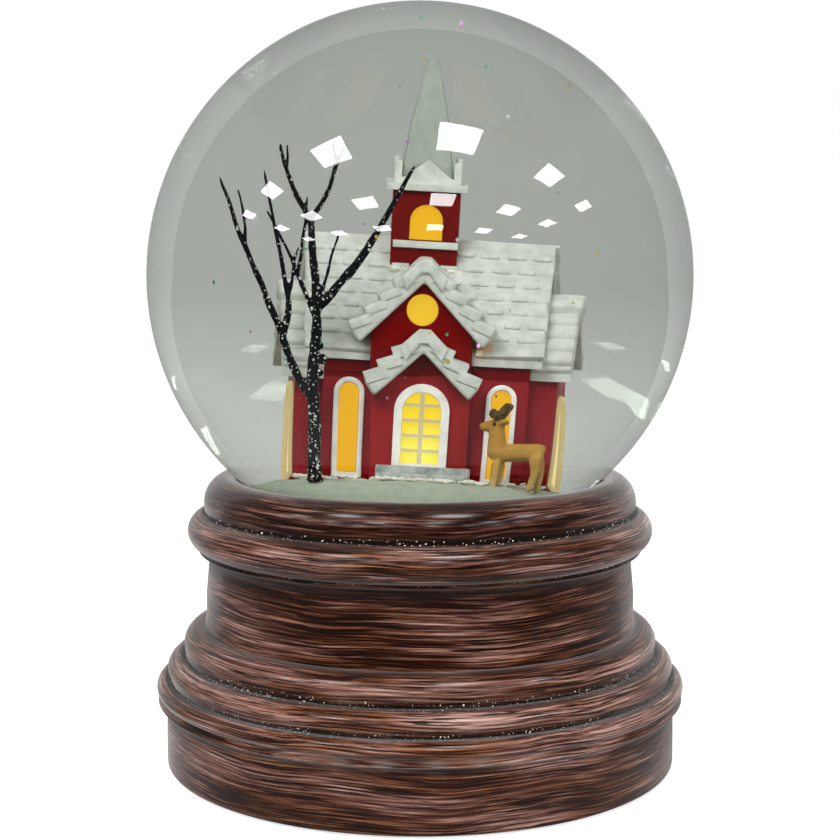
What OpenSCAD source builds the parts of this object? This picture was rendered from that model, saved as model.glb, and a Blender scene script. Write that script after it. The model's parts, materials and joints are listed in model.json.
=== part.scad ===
// Lit snow globe: a water-filled glass ball on a turned, stepped base,
// with a chapel, a bare tree and a deer inside and a battery light below.
// Row frame: origin at the centre of the underside, +Z up, -Y is the front.

/* [Globe] */
// Outer radius of the glass ball
globe_r = 75; // [74:0.5:77]
// Thickness of the glass
glass_t = 2.6; // [2:0.1:3.2]
// Inner radius of the glass neck
neck_r = 42; // [41.6:0.1:42.4]
// Depth of the stopper in the neck
stopper_h = 18; // [14:1:20]
// Radius of the clear light window in the stopper
window_r = 16; // [14:0.5:18]
// Height of the snow in front of the chapel above the stopper
ground_h = 13.67; // [13:0.1:15]

/* [Base] */
// Height of the casing's underside above the table
foot_gap = 0.6; // [0.4:0.1:1]
// Radius of the plain bottom band
band_r = 71.3; // [70.5:0.1:72.5]
// Height of the top of the bottom band
band_top = 15.4; // [14:0.2:17]
// Radius of the widest rim
rim_r = 73.9; // [73.5:0.1:75]
// Height of the middle of the widest rim
rim_z = 22.4; // [21.8:0.1:23]
// Radius of the lower step
step_low_r = 70.8; // [69.5:0.1:71.5]
// Radius of the upper step
step_high_r = 66.2; // [65:0.1:67]
// Radius of the straight neck of the base
waist_r = 59.4; // [58.5:0.1:60]
// Radius of the bead above the waist
bead_r = 64.9; // [63.5:0.1:66]
// Height of the middle of that bead
bead_z = 65.8; // [65.2:0.1:66.4]
// Radius of the inner edge of the casing's mouth
mouth_r = 51.6; // [51.2:0.1:52]
// Height of the casing's mouth, where the glass sits
mouth_z = 80.17; // [79.8:0.1:80.8]
// Radius of the lower hollow
hollow_r = 60; // [57:0.5:62]
// Radius of the upper hollow
upper_hollow_r = 53; // [52:0.5:54]
// Radius of the bottom plate
plate_r = 66; // [63:0.5:67]
// Thickness of the bottom plate
plate_t = 2.4; // [2:0.1:3]

/* [Chapel] */
// Sideways lean of the whole casting, in degrees
chapel_lean = 3.3; // [0:0.1:5]
// Distance of the front wall from the axis, towards the front
chapel_front = 17; // [14:0.5:19]
// Half the length of the nave's walls
nave_half = 22.2; // [20:0.1:24]
// Depth of the nave
nave_depth = 42.2; // [38:0.2:44]
// Height of the nave roof's ridge
ridge_w = 53; // [51:0.2:55]
// Overhang of the nave roof at its eaves
eave_out = 1.6; // [1:0.1:2.2]
// Vertical thickness of the nave roof
roof_t = 2.9; // [2.4:0.1:3.4]
// Rows of shingles on each slope of the nave roof
nave_rows = 8; // [6:1:10]
// Half the length over both side wings
wing_half = 28.2; // [27:0.1:30]
// Set-back of the wings' front wall
wing_back = 3.2; // [2:0.1:4.5]
// Depth of the wings
wing_depth = 23.4; // [21:0.2:26]
// Drop from the nave's ridge to the ridge of the wing roofs
wing_drop = 10.6; // [9:0.2:13]
// Vertical thickness of the wing roofs
wing_roof_t = 3.2; // [2.6:0.1:3.6]
// Thickness of the chapel's walls
wall_t = 2; // [1.6:0.1:2.4]
// Half width of the projecting entrance
bay_half = 10.7; // [10:0.1:11.5]
// Projection of the entrance from the front wall
bay_out = 3.9; // [3:0.1:4.6]
// Drop from the nave's ridge to the point of the entrance gable's wall
gable_drop = 8; // [7:0.2:9]
// Half width of the tower
tower_half = 6.95; // [6.4:0.05:7.4]
// Height of the tower's top above the ridge
tower_h = 10.5; // [8:0.5:12]
// Height of the spire's tip above the tower
spire_h = 26.5; // [22:0.5:28]
// Half width of the spire's foot
spire_half = 5.6; // [4.8:0.1:6]

/* [Openings in the chapel] */
// Half width of a side window's pane
pane_half = 2.2; // [1.8:0.1:2.6]
// Width of the windows' white frames
frame_w = 1.15; // [0.9:0.05:1.4]
// Height of a side window's sill
sill_w = 2.2; // [1.8:0.1:2.8]
// Height of a side window's pane top
pane_top_w = 22.6; // [21:0.2:23.4]
// Distance of the side windows from the middle
window_u = 16.5; // [15.5:0.1:17.5]
// Half width of the door's pane
door_half = 4.25; // [3.8:0.05:4.6]
// Width of the door's frame
door_frame_w = 1.8; // [1.4:0.1:2]
// Height of the door's sill
door_sill_w = 4.2; // [3.6:0.1:4.8]
// Height of the door pane's top
door_top_w = 21.2; // [19.5:0.1:21.6]
// Radius of the round window
rose_r = 3.45; // [3:0.05:3.8]

/* [Tree and deer] */
// Distance of the tree from the axis, towards the front
tree_front = 27; // [26:0.5:28]
// Radius of the trunk at its foot
trunk_r = 1.7; // [1.5:0.05:2]
// Height of the deer at its back
deer_back = 11.5; // [10.5:0.1:12.5]
// Distance of the deer from the axis, towards the front
deer_front = 27; // [26:0.5:28]

/* [Light and battery] */
// Radius of the light board
board_r = 38.5; // [37.5:0.5:41]
// Height of the light board's underside
board_z = 46; // [44:0.5:47]
// Radius of a battery
cell_r = 7.25; // [7:0.05:7.4]
// Length of a battery
cell_l = 50.5; // [48:0.5:51]
// Travel of the switch knob
switch_travel = 3; // [2:0.5:4]
// Thickness of the battery door
door_t = 1.6; // [1.4:0.1:1.8]

/* [Hidden] */
$fn = 96;
fit = 0.05;            // running clearance of the knob, door and loose panes
cut = 0.5;             // how far a cutting shape runs past the face it cuts

// heights of the stack that holds the globe
mouth_gap = 0.4;
globe_z = mouth_z + mouth_gap + sqrt(globe_r * globe_r - mouth_r * mouth_r);
glass_in = globe_r - glass_t;
stopper_top = globe_z - sqrt(glass_in * glass_in - neck_r * neck_r);
neck_bottom = stopper_top - stopper_h;
flange_t = 2.2;
flange_bottom = neck_bottom - flange_t;
clamp_t = 2.8;
clamp_bottom = flange_bottom - clamp_t;
neck_out = neck_r + 2.5;
bore_r = neck_out + 2.1;
web_bottom = neck_bottom + 4;
web_top = web_bottom + 10;
seal_top = mouth_z - 1.6;
ground_z = stopper_top + ground_h;
screw_ring_r = (bore_r + upper_hollow_r) / 2;

// base stack
plate_bottom = foot_gap + 1;
plate_top = plate_bottom + plate_t;
plate_gap = 0.2;

// chapel values: u runs along the ridge, v away from the front, w up
nave_mid = nave_depth / 2;
nave_wall_w = ridge_w - roof_t - nave_mid;
wing_ridge_w = ridge_w - wing_drop;
gable_w = ridge_w - gable_drop;
wing_ridge_v = wing_back + 12.8;
wing_mid = wing_back + wing_depth / 2;
wing_over = 3.2;                      // verge of the wing roofs beyond the end walls
nave_over = [4.4, 2.8];               // verge of the nave roof beyond its left and right end
wing_eaves = [[3.6, 3], [1.5, 0.4]];  // front and rear eaves of the left and right wing roof
shingle_t = 0.5;
sink = 1.6;            // how far the walls stand in the snow
bay_u = -0.6;
gable_u = -1.6;
gable_half = 10.9;
gable_eave_w = gable_w - 11.2;
gable_slope = (gable_w - gable_eave_w) / gable_half;
gable_roof_t = 5;
gable_run = 15.6;
porch_u = -0.9;
porch_run = 12.6;
porch_slope = 0.97;
porch_apex_w = gable_w - 10;
porch_t = 5.2;
porch_out = 4.7;
rose_u = gable_u - 0.1;
rose_w = gable_w - 6;
verge_out = 2.3;
tread_l = [3.3, 3.1];
tread_h = 1.9;
tower_u = -2.15;
tower_v = nave_mid + 0.9;
cornice_t = 1.4;
cornice_half = tower_half + 1.45;
belfry_half = 3.45;
belfry_w = [ridge_w + 0.3, ridge_w + 7.6];  // sill and top of the belfry window
tower_w = ridge_w + tower_h;
spire_w = tower_w + spire_h;
shaft_foot_w = ridge_w - 13;
parapet_h = 4.6;
post_t = 1.5;
step_u = 0.4;
end_window_half = 7;

// light and battery values
cell_gap = 0.2;
cell_pitch = 2 * cell_r + cell_gap;
contact_t = 0.4;
spring_l = 5.8;
bay_in_x = (cell_l + spring_l) / 2 + contact_t;
bay_in_y = 1.5 * cell_pitch + 0.4;
box_t = 1.5;
cell_z = plate_bottom + door_t + cell_r + 0.4;
box_top = cell_z + cell_r + 1.8;
post_ring_r = board_r - 4.5;
board_t = 1.6;
led_ring_r = 8;
hinge_pin_r = 0.9;
door_gap = 0.6;        // keeps the door's edge clear of the plate as it swings
knuckle_r = 1.6;
knuckle_w = 6;
knuckle_x = 18;
rib_half = 2.2;
hinge_y = -(bay_in_y + 3);
hinge_z = plate_bottom + knuckle_r;
switch_y = 40;
knob_l = 4;
knob_w = 2.4;
shoe_l = knob_l + 1.2;
shoe_w = knob_w + 1.2;
shoe_h = 1.8;
switch_half_y = shoe_w / 2 + 1.2;
screw_r = 1.25;
boss_r = 4.2;
plate_screw_ring_r = hollow_r - 4;
feet_r = 5;
feet_ring_r = 55;

wood = [0.33, 0.2, 0.15];
red = [0.5, 0.08, 0.09];
snow = [0.83, 0.85, 0.83];
amber = [0.96, 0.72, 0.16];
white_paint = [0.8, 0.76, 0.74];

// ---------- shared helpers ----------
// points of an elliptical arc about [cx, cz]
function arc(cx, cz, rx, rz, a0, a1, n = 12) =
    [for (i = [0 : n]) let (a = a0 + (a1 - a0) * i / n) [cx + rx * cos(a), cz + rz * sin(a)]];

// directions along a path, for sweeping a tube
function heading(p, i) = let (a = p[max(i - 1, 0)], b = p[min(i + 1, len(p) - 1)], d = b - a)
    d / norm(d);

// tube of changing radius along a path: r holds one radius per point, and side is a
// direction that the path never runs along
module tube(p, r, sides = 6, side = [0, 1, 0.13]) {
    rings = [for (i = [0 : len(p) - 1])
        let (d = heading(p, i), s = cross(d, side), a = s / norm(s), b = cross(d, a))
        for (k = [0 : sides - 1])
            p[i] + r[i] * (a * cos(360 * k / sides) + b * sin(360 * k / sides))];
    n = len(p);
    walls = [for (i = [0 : n - 2], k = [0 : sides - 1])
        let (q = (k + 1) % sides)
        [i * sides + k, (i + 1) * sides + k, (i + 1) * sides + q, i * sides + q]];
    first = [for (k = [0 : sides - 1]) k];
    last = [for (k = [sides - 1 : -1 : 0]) (n - 1) * sides + k];
    polyhedron(rings, concat(walls, [first, last]), convexity = 4);
}

// copies children at n places round a circle
module ring_of(n, r, start = 0) {
    for (i = [0 : n - 1]) rotate(start + i * 360 / n) translate([r, 0, 0]) children();
}

// puts children in the leaning frame of the chapel
module in_chapel() {
    translate([0, -chapel_front, ground_z]) rotate([0, chapel_lean, 0]) children();
}

// extrudes a [v, w] outline along u from u0 to u1
module along_u(u0, u1) {
    translate([u0, 0, 0]) rotate([90, 0, 90]) linear_extrude(u1 - u0) children();
}

// extrudes a [u, w] outline along v from v0 to v1
module along_v(v0, v1) {
    translate([0, v1, 0]) rotate([90, 0, 0]) linear_extrude(v1 - v0) children();
}

// round-headed opening in the u-w plane
module arch(u, half, low, top) {
    translate([u - half, low]) square([2 * half, top - half - low]);
    translate([u, top - half]) circle(half, $fn = 48);
}

// opening with a straight top and rounded shoulders
module shouldered(u, half, low, top, round_r) {
    translate([u - half, low]) square([2 * half, top - round_r - low]);
    translate([u - half + round_r, low]) square([2 * (half - round_r), top - low]);
    for (s = [-1, 1]) translate([u + s * (half - round_r), top - round_r])
        circle(round_r, $fn = 48);
}

// ---------- globe ----------
module glass_globe() {
    color([0.75, 0.82, 0.8, 0.3]) difference() {
        union() {
            translate([0, 0, globe_z]) sphere(globe_r);
            translate([0, 0, neck_bottom]) cylinder(h = globe_z - globe_r / 2 - neck_bottom, r = neck_out);
        }
        translate([0, 0, globe_z]) sphere(glass_in);
        translate([0, 0, neck_bottom - cut]) cylinder(h = globe_z - globe_r / 2 - neck_bottom, r = neck_r);
    }
}

module rubber_stopper() {
    color([0.16, 0.16, 0.17]) difference() {
        union() {
            translate([0, 0, flange_bottom]) cylinder(h = flange_t, r = neck_out + 0.6);
            translate([0, 0, neck_bottom]) cylinder(h = stopper_h, r = neck_r);
        }
        light_window_shape();
    }
}

module light_window_shape() {
    translate([0, 0, flange_bottom]) cylinder(h = stopper_top - flange_bottom, r = window_r);
    translate([0, 0, flange_bottom]) cylinder(h = flange_t + 2, r = window_r + 3);
}

module light_window() {
    color([0.9, 0.92, 0.9, 0.5]) light_window_shape();
}

// ---------- snow ground ----------
// fall of the snow below the chapel's ground plane, from the middle to the neck
snow_flat_r = neck_r - 17;
snow_edge_r = neck_r - 0.6;
snow_fall = 9;

module snow_ground() {
    color(snow) difference() {
        intersection() {
            translate([0, 0, stopper_top]) cylinder(h = 2 * ground_h, r = snow_edge_r);
            translate([0, 0, ground_z]) rotate([0, chapel_lean, 0]) rotate_extrude()
                polygon(concat([[0, -2 * ground_h], [0, 0]],
                    arc(snow_flat_r, -snow_fall, snow_edge_r - snow_flat_r, snow_fall, 90, 4, 14),
                    [[snow_edge_r + 2, -snow_fall], [snow_edge_r + 2, -2 * ground_h]]));
        }
        translate([0, 0, stopper_top - cut]) cylinder(h = 2 * ground_h, r = window_r - 2);
        in_chapel() {
            translate([0, 0, -sink]) linear_extrude(10) footprint();
            step_blocks();
        }
        tree_peg();
        deer_feet();
    }
}

// outline of everything of the chapel that stands in the snow
module footprint() {
    translate([-nave_half, 0]) square([2 * nave_half, nave_depth]);
    translate([-wing_half, wing_back]) square([2 * wing_half, wing_depth]);
    translate([bay_u - bay_half, -bay_out]) square([2 * bay_half, bay_out + cut]);
}

// ---------- chapel ----------
// [v, w] outline of a house from v0 to v1 whose 45 degree roof peaks at [mid, top]
function house(mid, top, v0, v1, low) =
    [[v0, low], [v1, low], [v1, top - v1 + mid], [mid, top], [v0, top - mid + v0]];

// everything under the nave roof's outer face, behind the front wall
module nave_envelope(v0 = 0) {
    along_u(-nave_half - 5, nave_half + 5)
        polygon([[v0, -5], [nave_depth, -5], [nave_depth, ridge_w - nave_mid],
            [nave_mid, ridge_w], [v0, ridge_w - nave_mid + v0]]);
}

module bay_outline(inset = 0) {
    polygon([[bay_u - bay_half + inset, -sink], [bay_u + bay_half - inset, -sink],
        [gable_u + gable_half - inset, gable_eave_w - inset * 0.4], [gable_u, gable_w - inset * 1.4],
        [gable_u - gable_half + inset, gable_eave_w - inset * 0.4]]);
}

// window openings of the nave and wings: grow widens them, depth is how far each runs into the wall
module side_window_shapes(grow, v0, v1) {
    for (s = [-1, 1]) {
        along_v(v0, v1) arch(s * window_u, pane_half + grow, sill_w - grow, pane_top_w + grow);
        along_v(nave_depth - v1, nave_depth - v0)
            arch(s * window_u * 0.6, pane_half + grow, sill_w - grow, pane_top_w + grow);
    }
}

module end_window_shapes(grow, d0, d1) {
    for (s = [-1, 1])
        along_u(s > 0 ? wing_half - d1 : -wing_half + d0, s > 0 ? wing_half - d0 : -wing_half + d1)
            shouldered(wing_mid, end_window_half + grow, sill_w - grow, pane_top_w - 1.4 + grow, 4 + grow);
}

module chapel_walls() {
    wing_wall_top = wing_ridge_w - wing_roof_t;
    color(red) in_chapel() difference() {
        union() {
            along_u(-nave_half, nave_half)
                polygon(house(nave_mid, ridge_w - roof_t, 0, nave_depth, -sink));
            along_u(-wing_half, wing_half)
                polygon(house(wing_ridge_v, wing_wall_top, wing_back, wing_back + wing_depth, -sink));
        }
        along_u(-nave_half + wall_t, nave_half - wall_t) polygon(house(nave_mid,
            ridge_w - roof_t - wall_t, wall_t, nave_depth - wall_t, -sink - cut));
        along_u(-wing_half + wall_t, wing_half - wall_t) polygon(house(wing_ridge_v,
            wing_wall_top - wall_t, wing_back + wall_t, wing_back + wing_depth - wall_t, -sink - cut));
        side_window_shapes(0, -cut, wall_t + cut);
        end_window_shapes(0, -cut, wall_t + cut);
        // way for the light into the entrance and the tower
        along_v(-cut, wall_t + cut) translate([bay_u - bay_half + wall_t, -sink - cut])
            square([2 * (bay_half - wall_t), nave_wall_w]);
        tower_shaft(wall_t + 0.4);
    }
}

module entrance_walls() {
    color(red) in_chapel() difference() {
        along_v(-bay_out, nave_mid) bay_outline();
        along_v(-bay_out + wall_t, nave_mid + cut) translate([0, -cut]) bay_outline(wall_t);
        nave_envelope();
        along_v(-bay_out - cut, -bay_out + wall_t + cut) {
            arch(bay_u, door_half, door_sill_w, door_top_w);
            translate([rose_u, rose_w]) circle(rose_r);
        }
    }
}

// one slope's shingle rows as [run, fall] steps, from its eave up to just short of the ridge
function rows(n, run, step) = [for (i = [0 : n - 1]) each concat(
    [[run * i / n, run - run * i / n]],
    i == n - 1 ? [] : [[run * (i + 1) / n, run - run * (i + 1) / n + step]])];

// [v, w] outline of a 45 degree roof with n stepped rows to the front and back of its ridge
function stepped_roof(mid, top, front, rear, t, n, step) =
    concat([for (q = rows(n, front, step)) [mid - front + q[0], top - q[1]]], [[mid, top]],
        [for (k = [2 * n - 2 : -1 : 0]) let (q = rows(n, rear, step)[k]) [mid + rear - q[0], top - q[1]]],
        [[mid + rear, top - rear - t], [mid, top - t], [mid - front, top - front - t]]);

module nave_roof() {
    run = nave_mid + eave_out;
    color(snow) in_chapel() difference() {
        along_u(-nave_half - nave_over[0], nave_half + nave_over[1])
            polygon(stepped_roof(nave_mid, ridge_w, run, run, roof_t, nave_rows, shingle_t));
        along_v(-2 * eave_out, 0) bay_outline();
        tower_shaft(wall_t + 0.4);
    }
}

module wing_roofs() {
    color(snow) in_chapel() for (i = [0, 1]) {
        front = wing_ridge_v - wing_back + wing_eaves[i][0];
        rear = wing_back + wing_depth - wing_ridge_v + wing_eaves[i][1];
        along_u(i == 0 ? -wing_half - wing_over : nave_half, i == 0 ? -nave_half : wing_half + wing_over)
            polygon(stepped_roof(wing_ridge_v, wing_ridge_w, front, rear, wing_roof_t, 5, shingle_t));
    }
}

// the thick shingled gable roof over the entrance, [u, w]
module gable_roof_outline(u, run, slope, apex, t) {
    polygon([[u, apex], [u - run, apex - run * slope], [u - run + 2.2, apex - t - (run - 2.2) * slope],
        [u, apex - t], [u + run - 2.2, apex - t - (run - 2.2) * slope], [u + run, apex - run * slope]]);
}

module entrance_roof_shape() {
    along_v(-bay_out - verge_out, nave_mid)
        gable_roof_outline(gable_u, gable_run, gable_slope, gable_w + gable_roof_t, gable_roof_t);
}

module entrance_roof() {
    color(snow) in_chapel() difference() {
        entrance_roof_shape();
        nave_envelope(-eave_out);
    }
}

module porch_roof() {
    color(snow) in_chapel() along_v(-bay_out - porch_out, -bay_out)
        gable_roof_outline(porch_u, porch_run, porch_slope, porch_apex_w, porch_t);
}

module entrance_steps() {
    color(snow) in_chapel() step_blocks();
}

module step_blocks() {
    half = bay_half - 0.1;
    translate([step_u - half, -bay_out - tread_l[0], -sink])
        cube([2 * half, tread_l[0], door_sill_w + sink - 0.2]);
    translate([step_u - half, -bay_out - tread_l[0] - tread_l[1], -sink])
        cube([2 * half, tread_l[1], tread_h + sink]);
}

// ---------- tower ----------
module tower_shaft(inset) {
    h = tower_half - inset;
    translate([tower_u - h, tower_v - h, shaft_foot_w]) cube([2 * h, 2 * h, tower_w - shaft_foot_w]);
}

module tower_walls() {
    color(red) in_chapel() difference() {
        tower_shaft(0);
        translate([0, 0, -wall_t]) tower_shaft(wall_t);
        nave_envelope();
        entrance_roof_shape();
        along_v(tower_v - tower_half - cut, tower_v - tower_half + wall_t + cut)
            arch(tower_u + 0.2, belfry_half, belfry_w[0], belfry_w[1]);
    }
}

module tower_cornice() {
    color(snow) in_chapel() {
        // bar under the window
        translate([tower_u - tower_half + 0.4, tower_v - tower_half - 1, belfry_w[0] - 1.7])
            cube([2 * tower_half - 0.3, 1, 1.5]);
        // plate, corner posts and one small gable on each side
        translate([tower_u, tower_v, tower_w]) {
            translate([-cornice_half, -cornice_half, 0]) cube([2 * cornice_half, 2 * cornice_half, cornice_t]);
            for (a = [0 : 90 : 270]) rotate(a) {
                translate([tower_half - post_t, tower_half - post_t, cornice_t]) cube([post_t, post_t, parapet_h]);
                translate([-tower_half + post_t, -tower_half, cornice_t])
                    cube([2 * (tower_half - post_t), 1, 1.2]);
                translate([0, -tower_half + 1, cornice_t]) rotate([90, 0, 0]) linear_extrude(1)
                    polygon([[-4.9, 1.2], [4.9, 1.2], [0, parapet_h + 0.5]]);
            }
        }
    }
}

module spire() {
    low = tower_w + cornice_t;
    h = spire_w - low;
    side = [[-spire_half, 0], [spire_half, 0], [spire_half * 0.67, h * 0.5], [1.2, h * 0.965], [0.6, h],
        [-0.6, h], [-1.2, h * 0.965], [-spire_half * 0.67, h * 0.5]];
    color(snow) in_chapel() translate([tower_u - 0.2, tower_v, low]) intersection() {
        along_v(-spire_half, spire_half) polygon(side);
        along_u(-spire_half, spire_half) polygon(side);
    }
}

// ---------- frames and panes ----------
module window_frames() {
    proud = 0.8;
    color(white_paint) in_chapel() {
        difference() {
            side_window_shapes(frame_w, -proud, 0);
            side_window_shapes(0, -proud - cut, cut);
        }
        difference() {
            end_window_shapes(frame_w, -proud, 0);
            end_window_shapes(0, -proud - cut, cut);
        }
    }
}

module window_panes() {
    color(amber) in_chapel() {
        side_window_shapes(-fit, 0.3, wall_t - 0.3);
        end_window_shapes(-fit, 0.3, wall_t - 0.3);
        along_v(-bay_out + 0.9, -bay_out + wall_t)
            translate([rose_u, rose_w]) circle(rose_r - fit);
        along_v(tower_v - tower_half + 0.9, tower_v - tower_half + wall_t)
            arch(tower_u + 0.2, belfry_half - fit, belfry_w[0] + fit, belfry_w[1] - fit);
    }
}

module door_frame() {
    bars = 5;
    spring_w = door_top_w - door_half;
    color(white_paint) in_chapel() along_v(-bay_out - 1, -bay_out) {
        difference() {
            arch(bay_u, door_half + door_frame_w, door_sill_w, door_top_w + door_frame_w);
            arch(bay_u, door_half, door_sill_w - cut, door_top_w);
        }
        intersection() {
            arch(bay_u, door_half + 0.1, door_sill_w, door_top_w + 0.1);
            union() {
                translate([bay_u - 0.5, door_sill_w]) square([1, door_top_w - door_sill_w + 0.1]);
                for (i = [0 : bars - 1])
                    translate([bay_u - door_half - 0.1, door_sill_w + i * (spring_w + 1 - door_sill_w) / (bars - 1)])
                        square([2 * door_half + 0.2, 0.7]);
            }
        }
    }
}

module door_pane() {
    color([1, 0.9, 0.25]) in_chapel() along_v(-bay_out + 0.2, -bay_out + wall_t - 0.2)
        arch(bay_u, door_half - fit, door_sill_w + fit, door_top_w - fit);
}

// ---------- tree ----------
tree_foot = [-24.3, -tree_front, ground_z + 0.3];
// each branch: parent (-1 is the foot), place along it, end x, height above the
// foot, sideways bow, depth, start r, end r
branches = [
    [-1, 0, -23.8, 22, 0.2, 0, trunk_r, trunk_r - 0.3],
    [0, 0.97, -22.5, 40, 0, 0, trunk_r - 0.35, 1.1],
    [1, 0.97, -23.7, 59.5, -0.2, 0, 1.1, 0.75],
    [2, 0.94, -31.4, 76.2, -1.1, -3, 0.7, 0.4],
    [3, 0.65, -29.7, 75.5, 0.3, 0, 0.4, 0.3],
    [2, 0.97, -19.2, 75.5, 2.2, 2, 0.65, 0.4],
    [5, 0.45, -16.2, 75, -0.2, 2, 0.4, 0.3],
    [0, 0.86, -31, 35, -1, -1, 1.1, 0.9],
    [7, 0.97, -46.7, 69.8, 0.2, -4, 0.9, 0.4],
    [8, 0.52, -41.4, 66.2, 0.6, -1, 0.45, 0.3],
    [7, 0.85, -29, 41.7, 0.7, 1, 0.9, 0.65],
    [10, 0.97, -34.7, 70, 0.3, 1, 0.6, 0.35],
    [10, 0.95, -26.4, 52.5, -0.2, 2, 0.5, 0.3],
    [1, 0.8, -34, 61, 0.8, 3, 0.65, 0.3],
    [13, 0.42, -24.5, 64, 0, 0, 0.45, 0.3],
    [1, 0.95, -11, 52.9, 0.5, -1, 1.15, 0.95],
    [15, 0.97, -0.9, 70.6, 0.2, -2, 0.9, 0.4],
    [1, 0.95, -17.4, 56.5, 0.2, 2, 0.5, 0.3],
    [0, 0.95, -21.3, 31.3, 0.6, -0.5, 1.2, 0.9]];

function branch_point(i, t) =
    let (b = branches[i], s = b[0] < 0 ? tree_foot : branch_point(b[0], b[1]), bow = b[4] * 4 * t * (1 - t))
    [s[0] + (b[2] - s[0]) * t + bow, s[1] + b[5] * t * t, s[2] + (tree_foot[2] + b[3] - s[2]) * t];

module tree_peg() {
    translate([tree_foot[0], tree_foot[1], ground_z - 5]) cylinder(h = 8, r = trunk_r);
}

module tree() {
    color([0.08, 0.08, 0.08]) {
        for (i = [0 : len(branches) - 1]) {
            b = branches[i];
            n = norm(branch_point(i, 1) - branch_point(i, 0)) > 12 ? 5 : 2;
            tube([for (k = [0 : n]) branch_point(i, k / n)], [for (k = [0 : n]) b[6] + (b[7] - b[6]) * k / n]);
        }
        intersection() {
            tree_peg();
            translate([tree_foot[0] - 5, tree_foot[1] - 5, ground_z - 5]) cube([10, 10, 6]);
        }
    }
}

// ---------- deer ----------
deer_x = 21.3;
deer_foot_z = ground_z - deer_x * sin(chapel_lean) - 1.6;

// a limb of two joined balls, in the deer's own frame: x runs from nose to tail
module limb(a, ra, b, rb) {
    hull() {
        translate(a) sphere(ra, $fn = 12);
        translate(b) sphere(rb, $fn = 12);
    }
}

module in_deer() {
    translate([deer_x, -deer_front, deer_foot_z]) rotate([0, chapel_lean, 0]) children();
}

// the lower legs, also cut out of the snow that they stand in
module deer_feet() {
    in_deer() for (s = [-1, 1]) {
        limb([-4 + s * 0.4, s * 1.3, 6.4], 1.2, [-4.1 + s * 0.6, s * 1.4, -0.7], 0.9);
        limb([5.7 + s * 0.5, s * 1.4, 4.2], 1.1, [5.4 + s * 0.9, s * 1.5, -0.7], 0.95);
    }
}

// head and ears, also cut out of the antlers that grow from it
module deer_head() {
    limb([-4.9, 0, deer_back + 4.3], 1.8, [-8.2, 0, deer_back + 4.1], 1);
    for (s = [-1, 1])
        limb([-4.4, s * 1.3, deer_back + 5.1], 0.7, [-3, s * 2.2, deer_back + 5.3], 0.7);
}

module deer() {
    color([0.72, 0.55, 0.32]) {
        deer_feet();
        in_deer() {
            for (s = [-1, 1])
                limb([5, s * 1.2, 7.6], 1.8, [5.7 + s * 0.5, s * 1.4, 4.2], 1.1);
            limb([-3.9, 0, deer_back - 2.1], 2.3, [4.6, 0, deer_back - 1.9], 2.2);
            limb([-4.6, 0, deer_back - 1.6], 2.4, [-5, 0, deer_back + 2.8], 1.9);
            limb([5.9, 0, deer_back - 0.8], 0.9, [6.4, 0, deer_back - 1.4], 0.6);
            deer_head();
        }
    }
}

module deer_antlers() {
    base = deer_back + 5.4;
    color([0.33, 0.23, 0.14]) in_deer() difference() {
        for (s = [-1, 1]) {
            limb([-4.8, s * 0.9, base], 0.65, [-4, s * 1.7, base + 1.9], 0.8);
            limb([-4, s * 1.7, base + 1.9], 0.8, [-2.9, s * 2, base + 3.2], 0.75);
            limb([-4.5, s * 1.3, base + 1.1], 0.65, [-6, s * 1.6, base + 1.8], 0.7);
        }
        deer_head();
    }
}

// ---------- base ----------
// half width and half height of each turned moulding
ring_size = [6.1, 7];
bead_size = [5.5, 5.1];
cove_size = [2.8, 3.8];
rim_size = [2.5, 2.4];
foot_cove_size = [3, 3.4];
edge_r = 0.9;
high_step_h = 4.6;
low_step_h = 3.4;
ring_z = mouth_z - 6.57;
high_step_z = rim_z + 12.2;
low_step_z = rim_z + 5.4;

// the turned outline from the mouth down to the underside
function casing_outline() = concat(
    [[mouth_r, mouth_z]],
    arc(mouth_r + 2.6, ring_z, ring_size[0], ring_size[1], 105, -18, 16),
    arc(bead_r - bead_size[0], bead_z, bead_size[0], bead_size[1], 80, -66, 16),
    arc(waist_r + 2.5, bead_z - 9.4, cove_size[0], cove_size[1], 92, 178, 6),
    [[waist_r + 0.5, high_step_z + 2 * high_step_h - 0.8]],
    arc(waist_r + 1.3, high_step_z, step_high_r - waist_r - 1.3, high_step_h, 92, 0, 10),
    arc(step_high_r - 0.3, low_step_z, step_low_r - step_high_r + 0.3, low_step_h, 92, -8, 10),
    [[rim_r - 4, rim_z + rim_size[1]]],
    arc(rim_r - rim_size[0], rim_z, rim_size[0], rim_size[1], 100, -52, 12),
    arc(band_r + 2.9, band_top, foot_cove_size[0], foot_cove_size[1], 102, 178, 6),
    arc(band_r - edge_r, foot_gap + edge_r, edge_r, edge_r, 0, -90, 4));

module base_casing() {
    color(wood) difference() {
        union() {
            rotate_extrude($fn = 180) polygon(concat(casing_outline(),
                [[plate_r + plate_gap, foot_gap], [plate_r + plate_gap, plate_top],
                 [hollow_r, plate_top], [hollow_r, rim_z + 5], [upper_hollow_r, rim_z + 11],
                 [upper_hollow_r, web_bottom], [bore_r, web_bottom], [bore_r, web_top],
                 [mouth_r, web_top]]));
            ring_of(4, plate_screw_ring_r) translate([0, 0, plate_top]) cylinder(h = 14, r = boss_r);
            ring_of(3, screw_ring_r, 90) translate([0, 0, flange_bottom])
                cylinder(h = web_bottom - flange_bottom + 1, r = (upper_hollow_r - bore_r) / 2 + 0.3);
        }
        ring_of(4, plate_screw_ring_r) translate([0, 0, plate_top - cut]) cylinder(h = 11, r = screw_r);
        ring_of(3, screw_ring_r, 90) translate([0, 0, flange_bottom - cut]) cylinder(h = 12, r = screw_r);
    }
}

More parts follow.
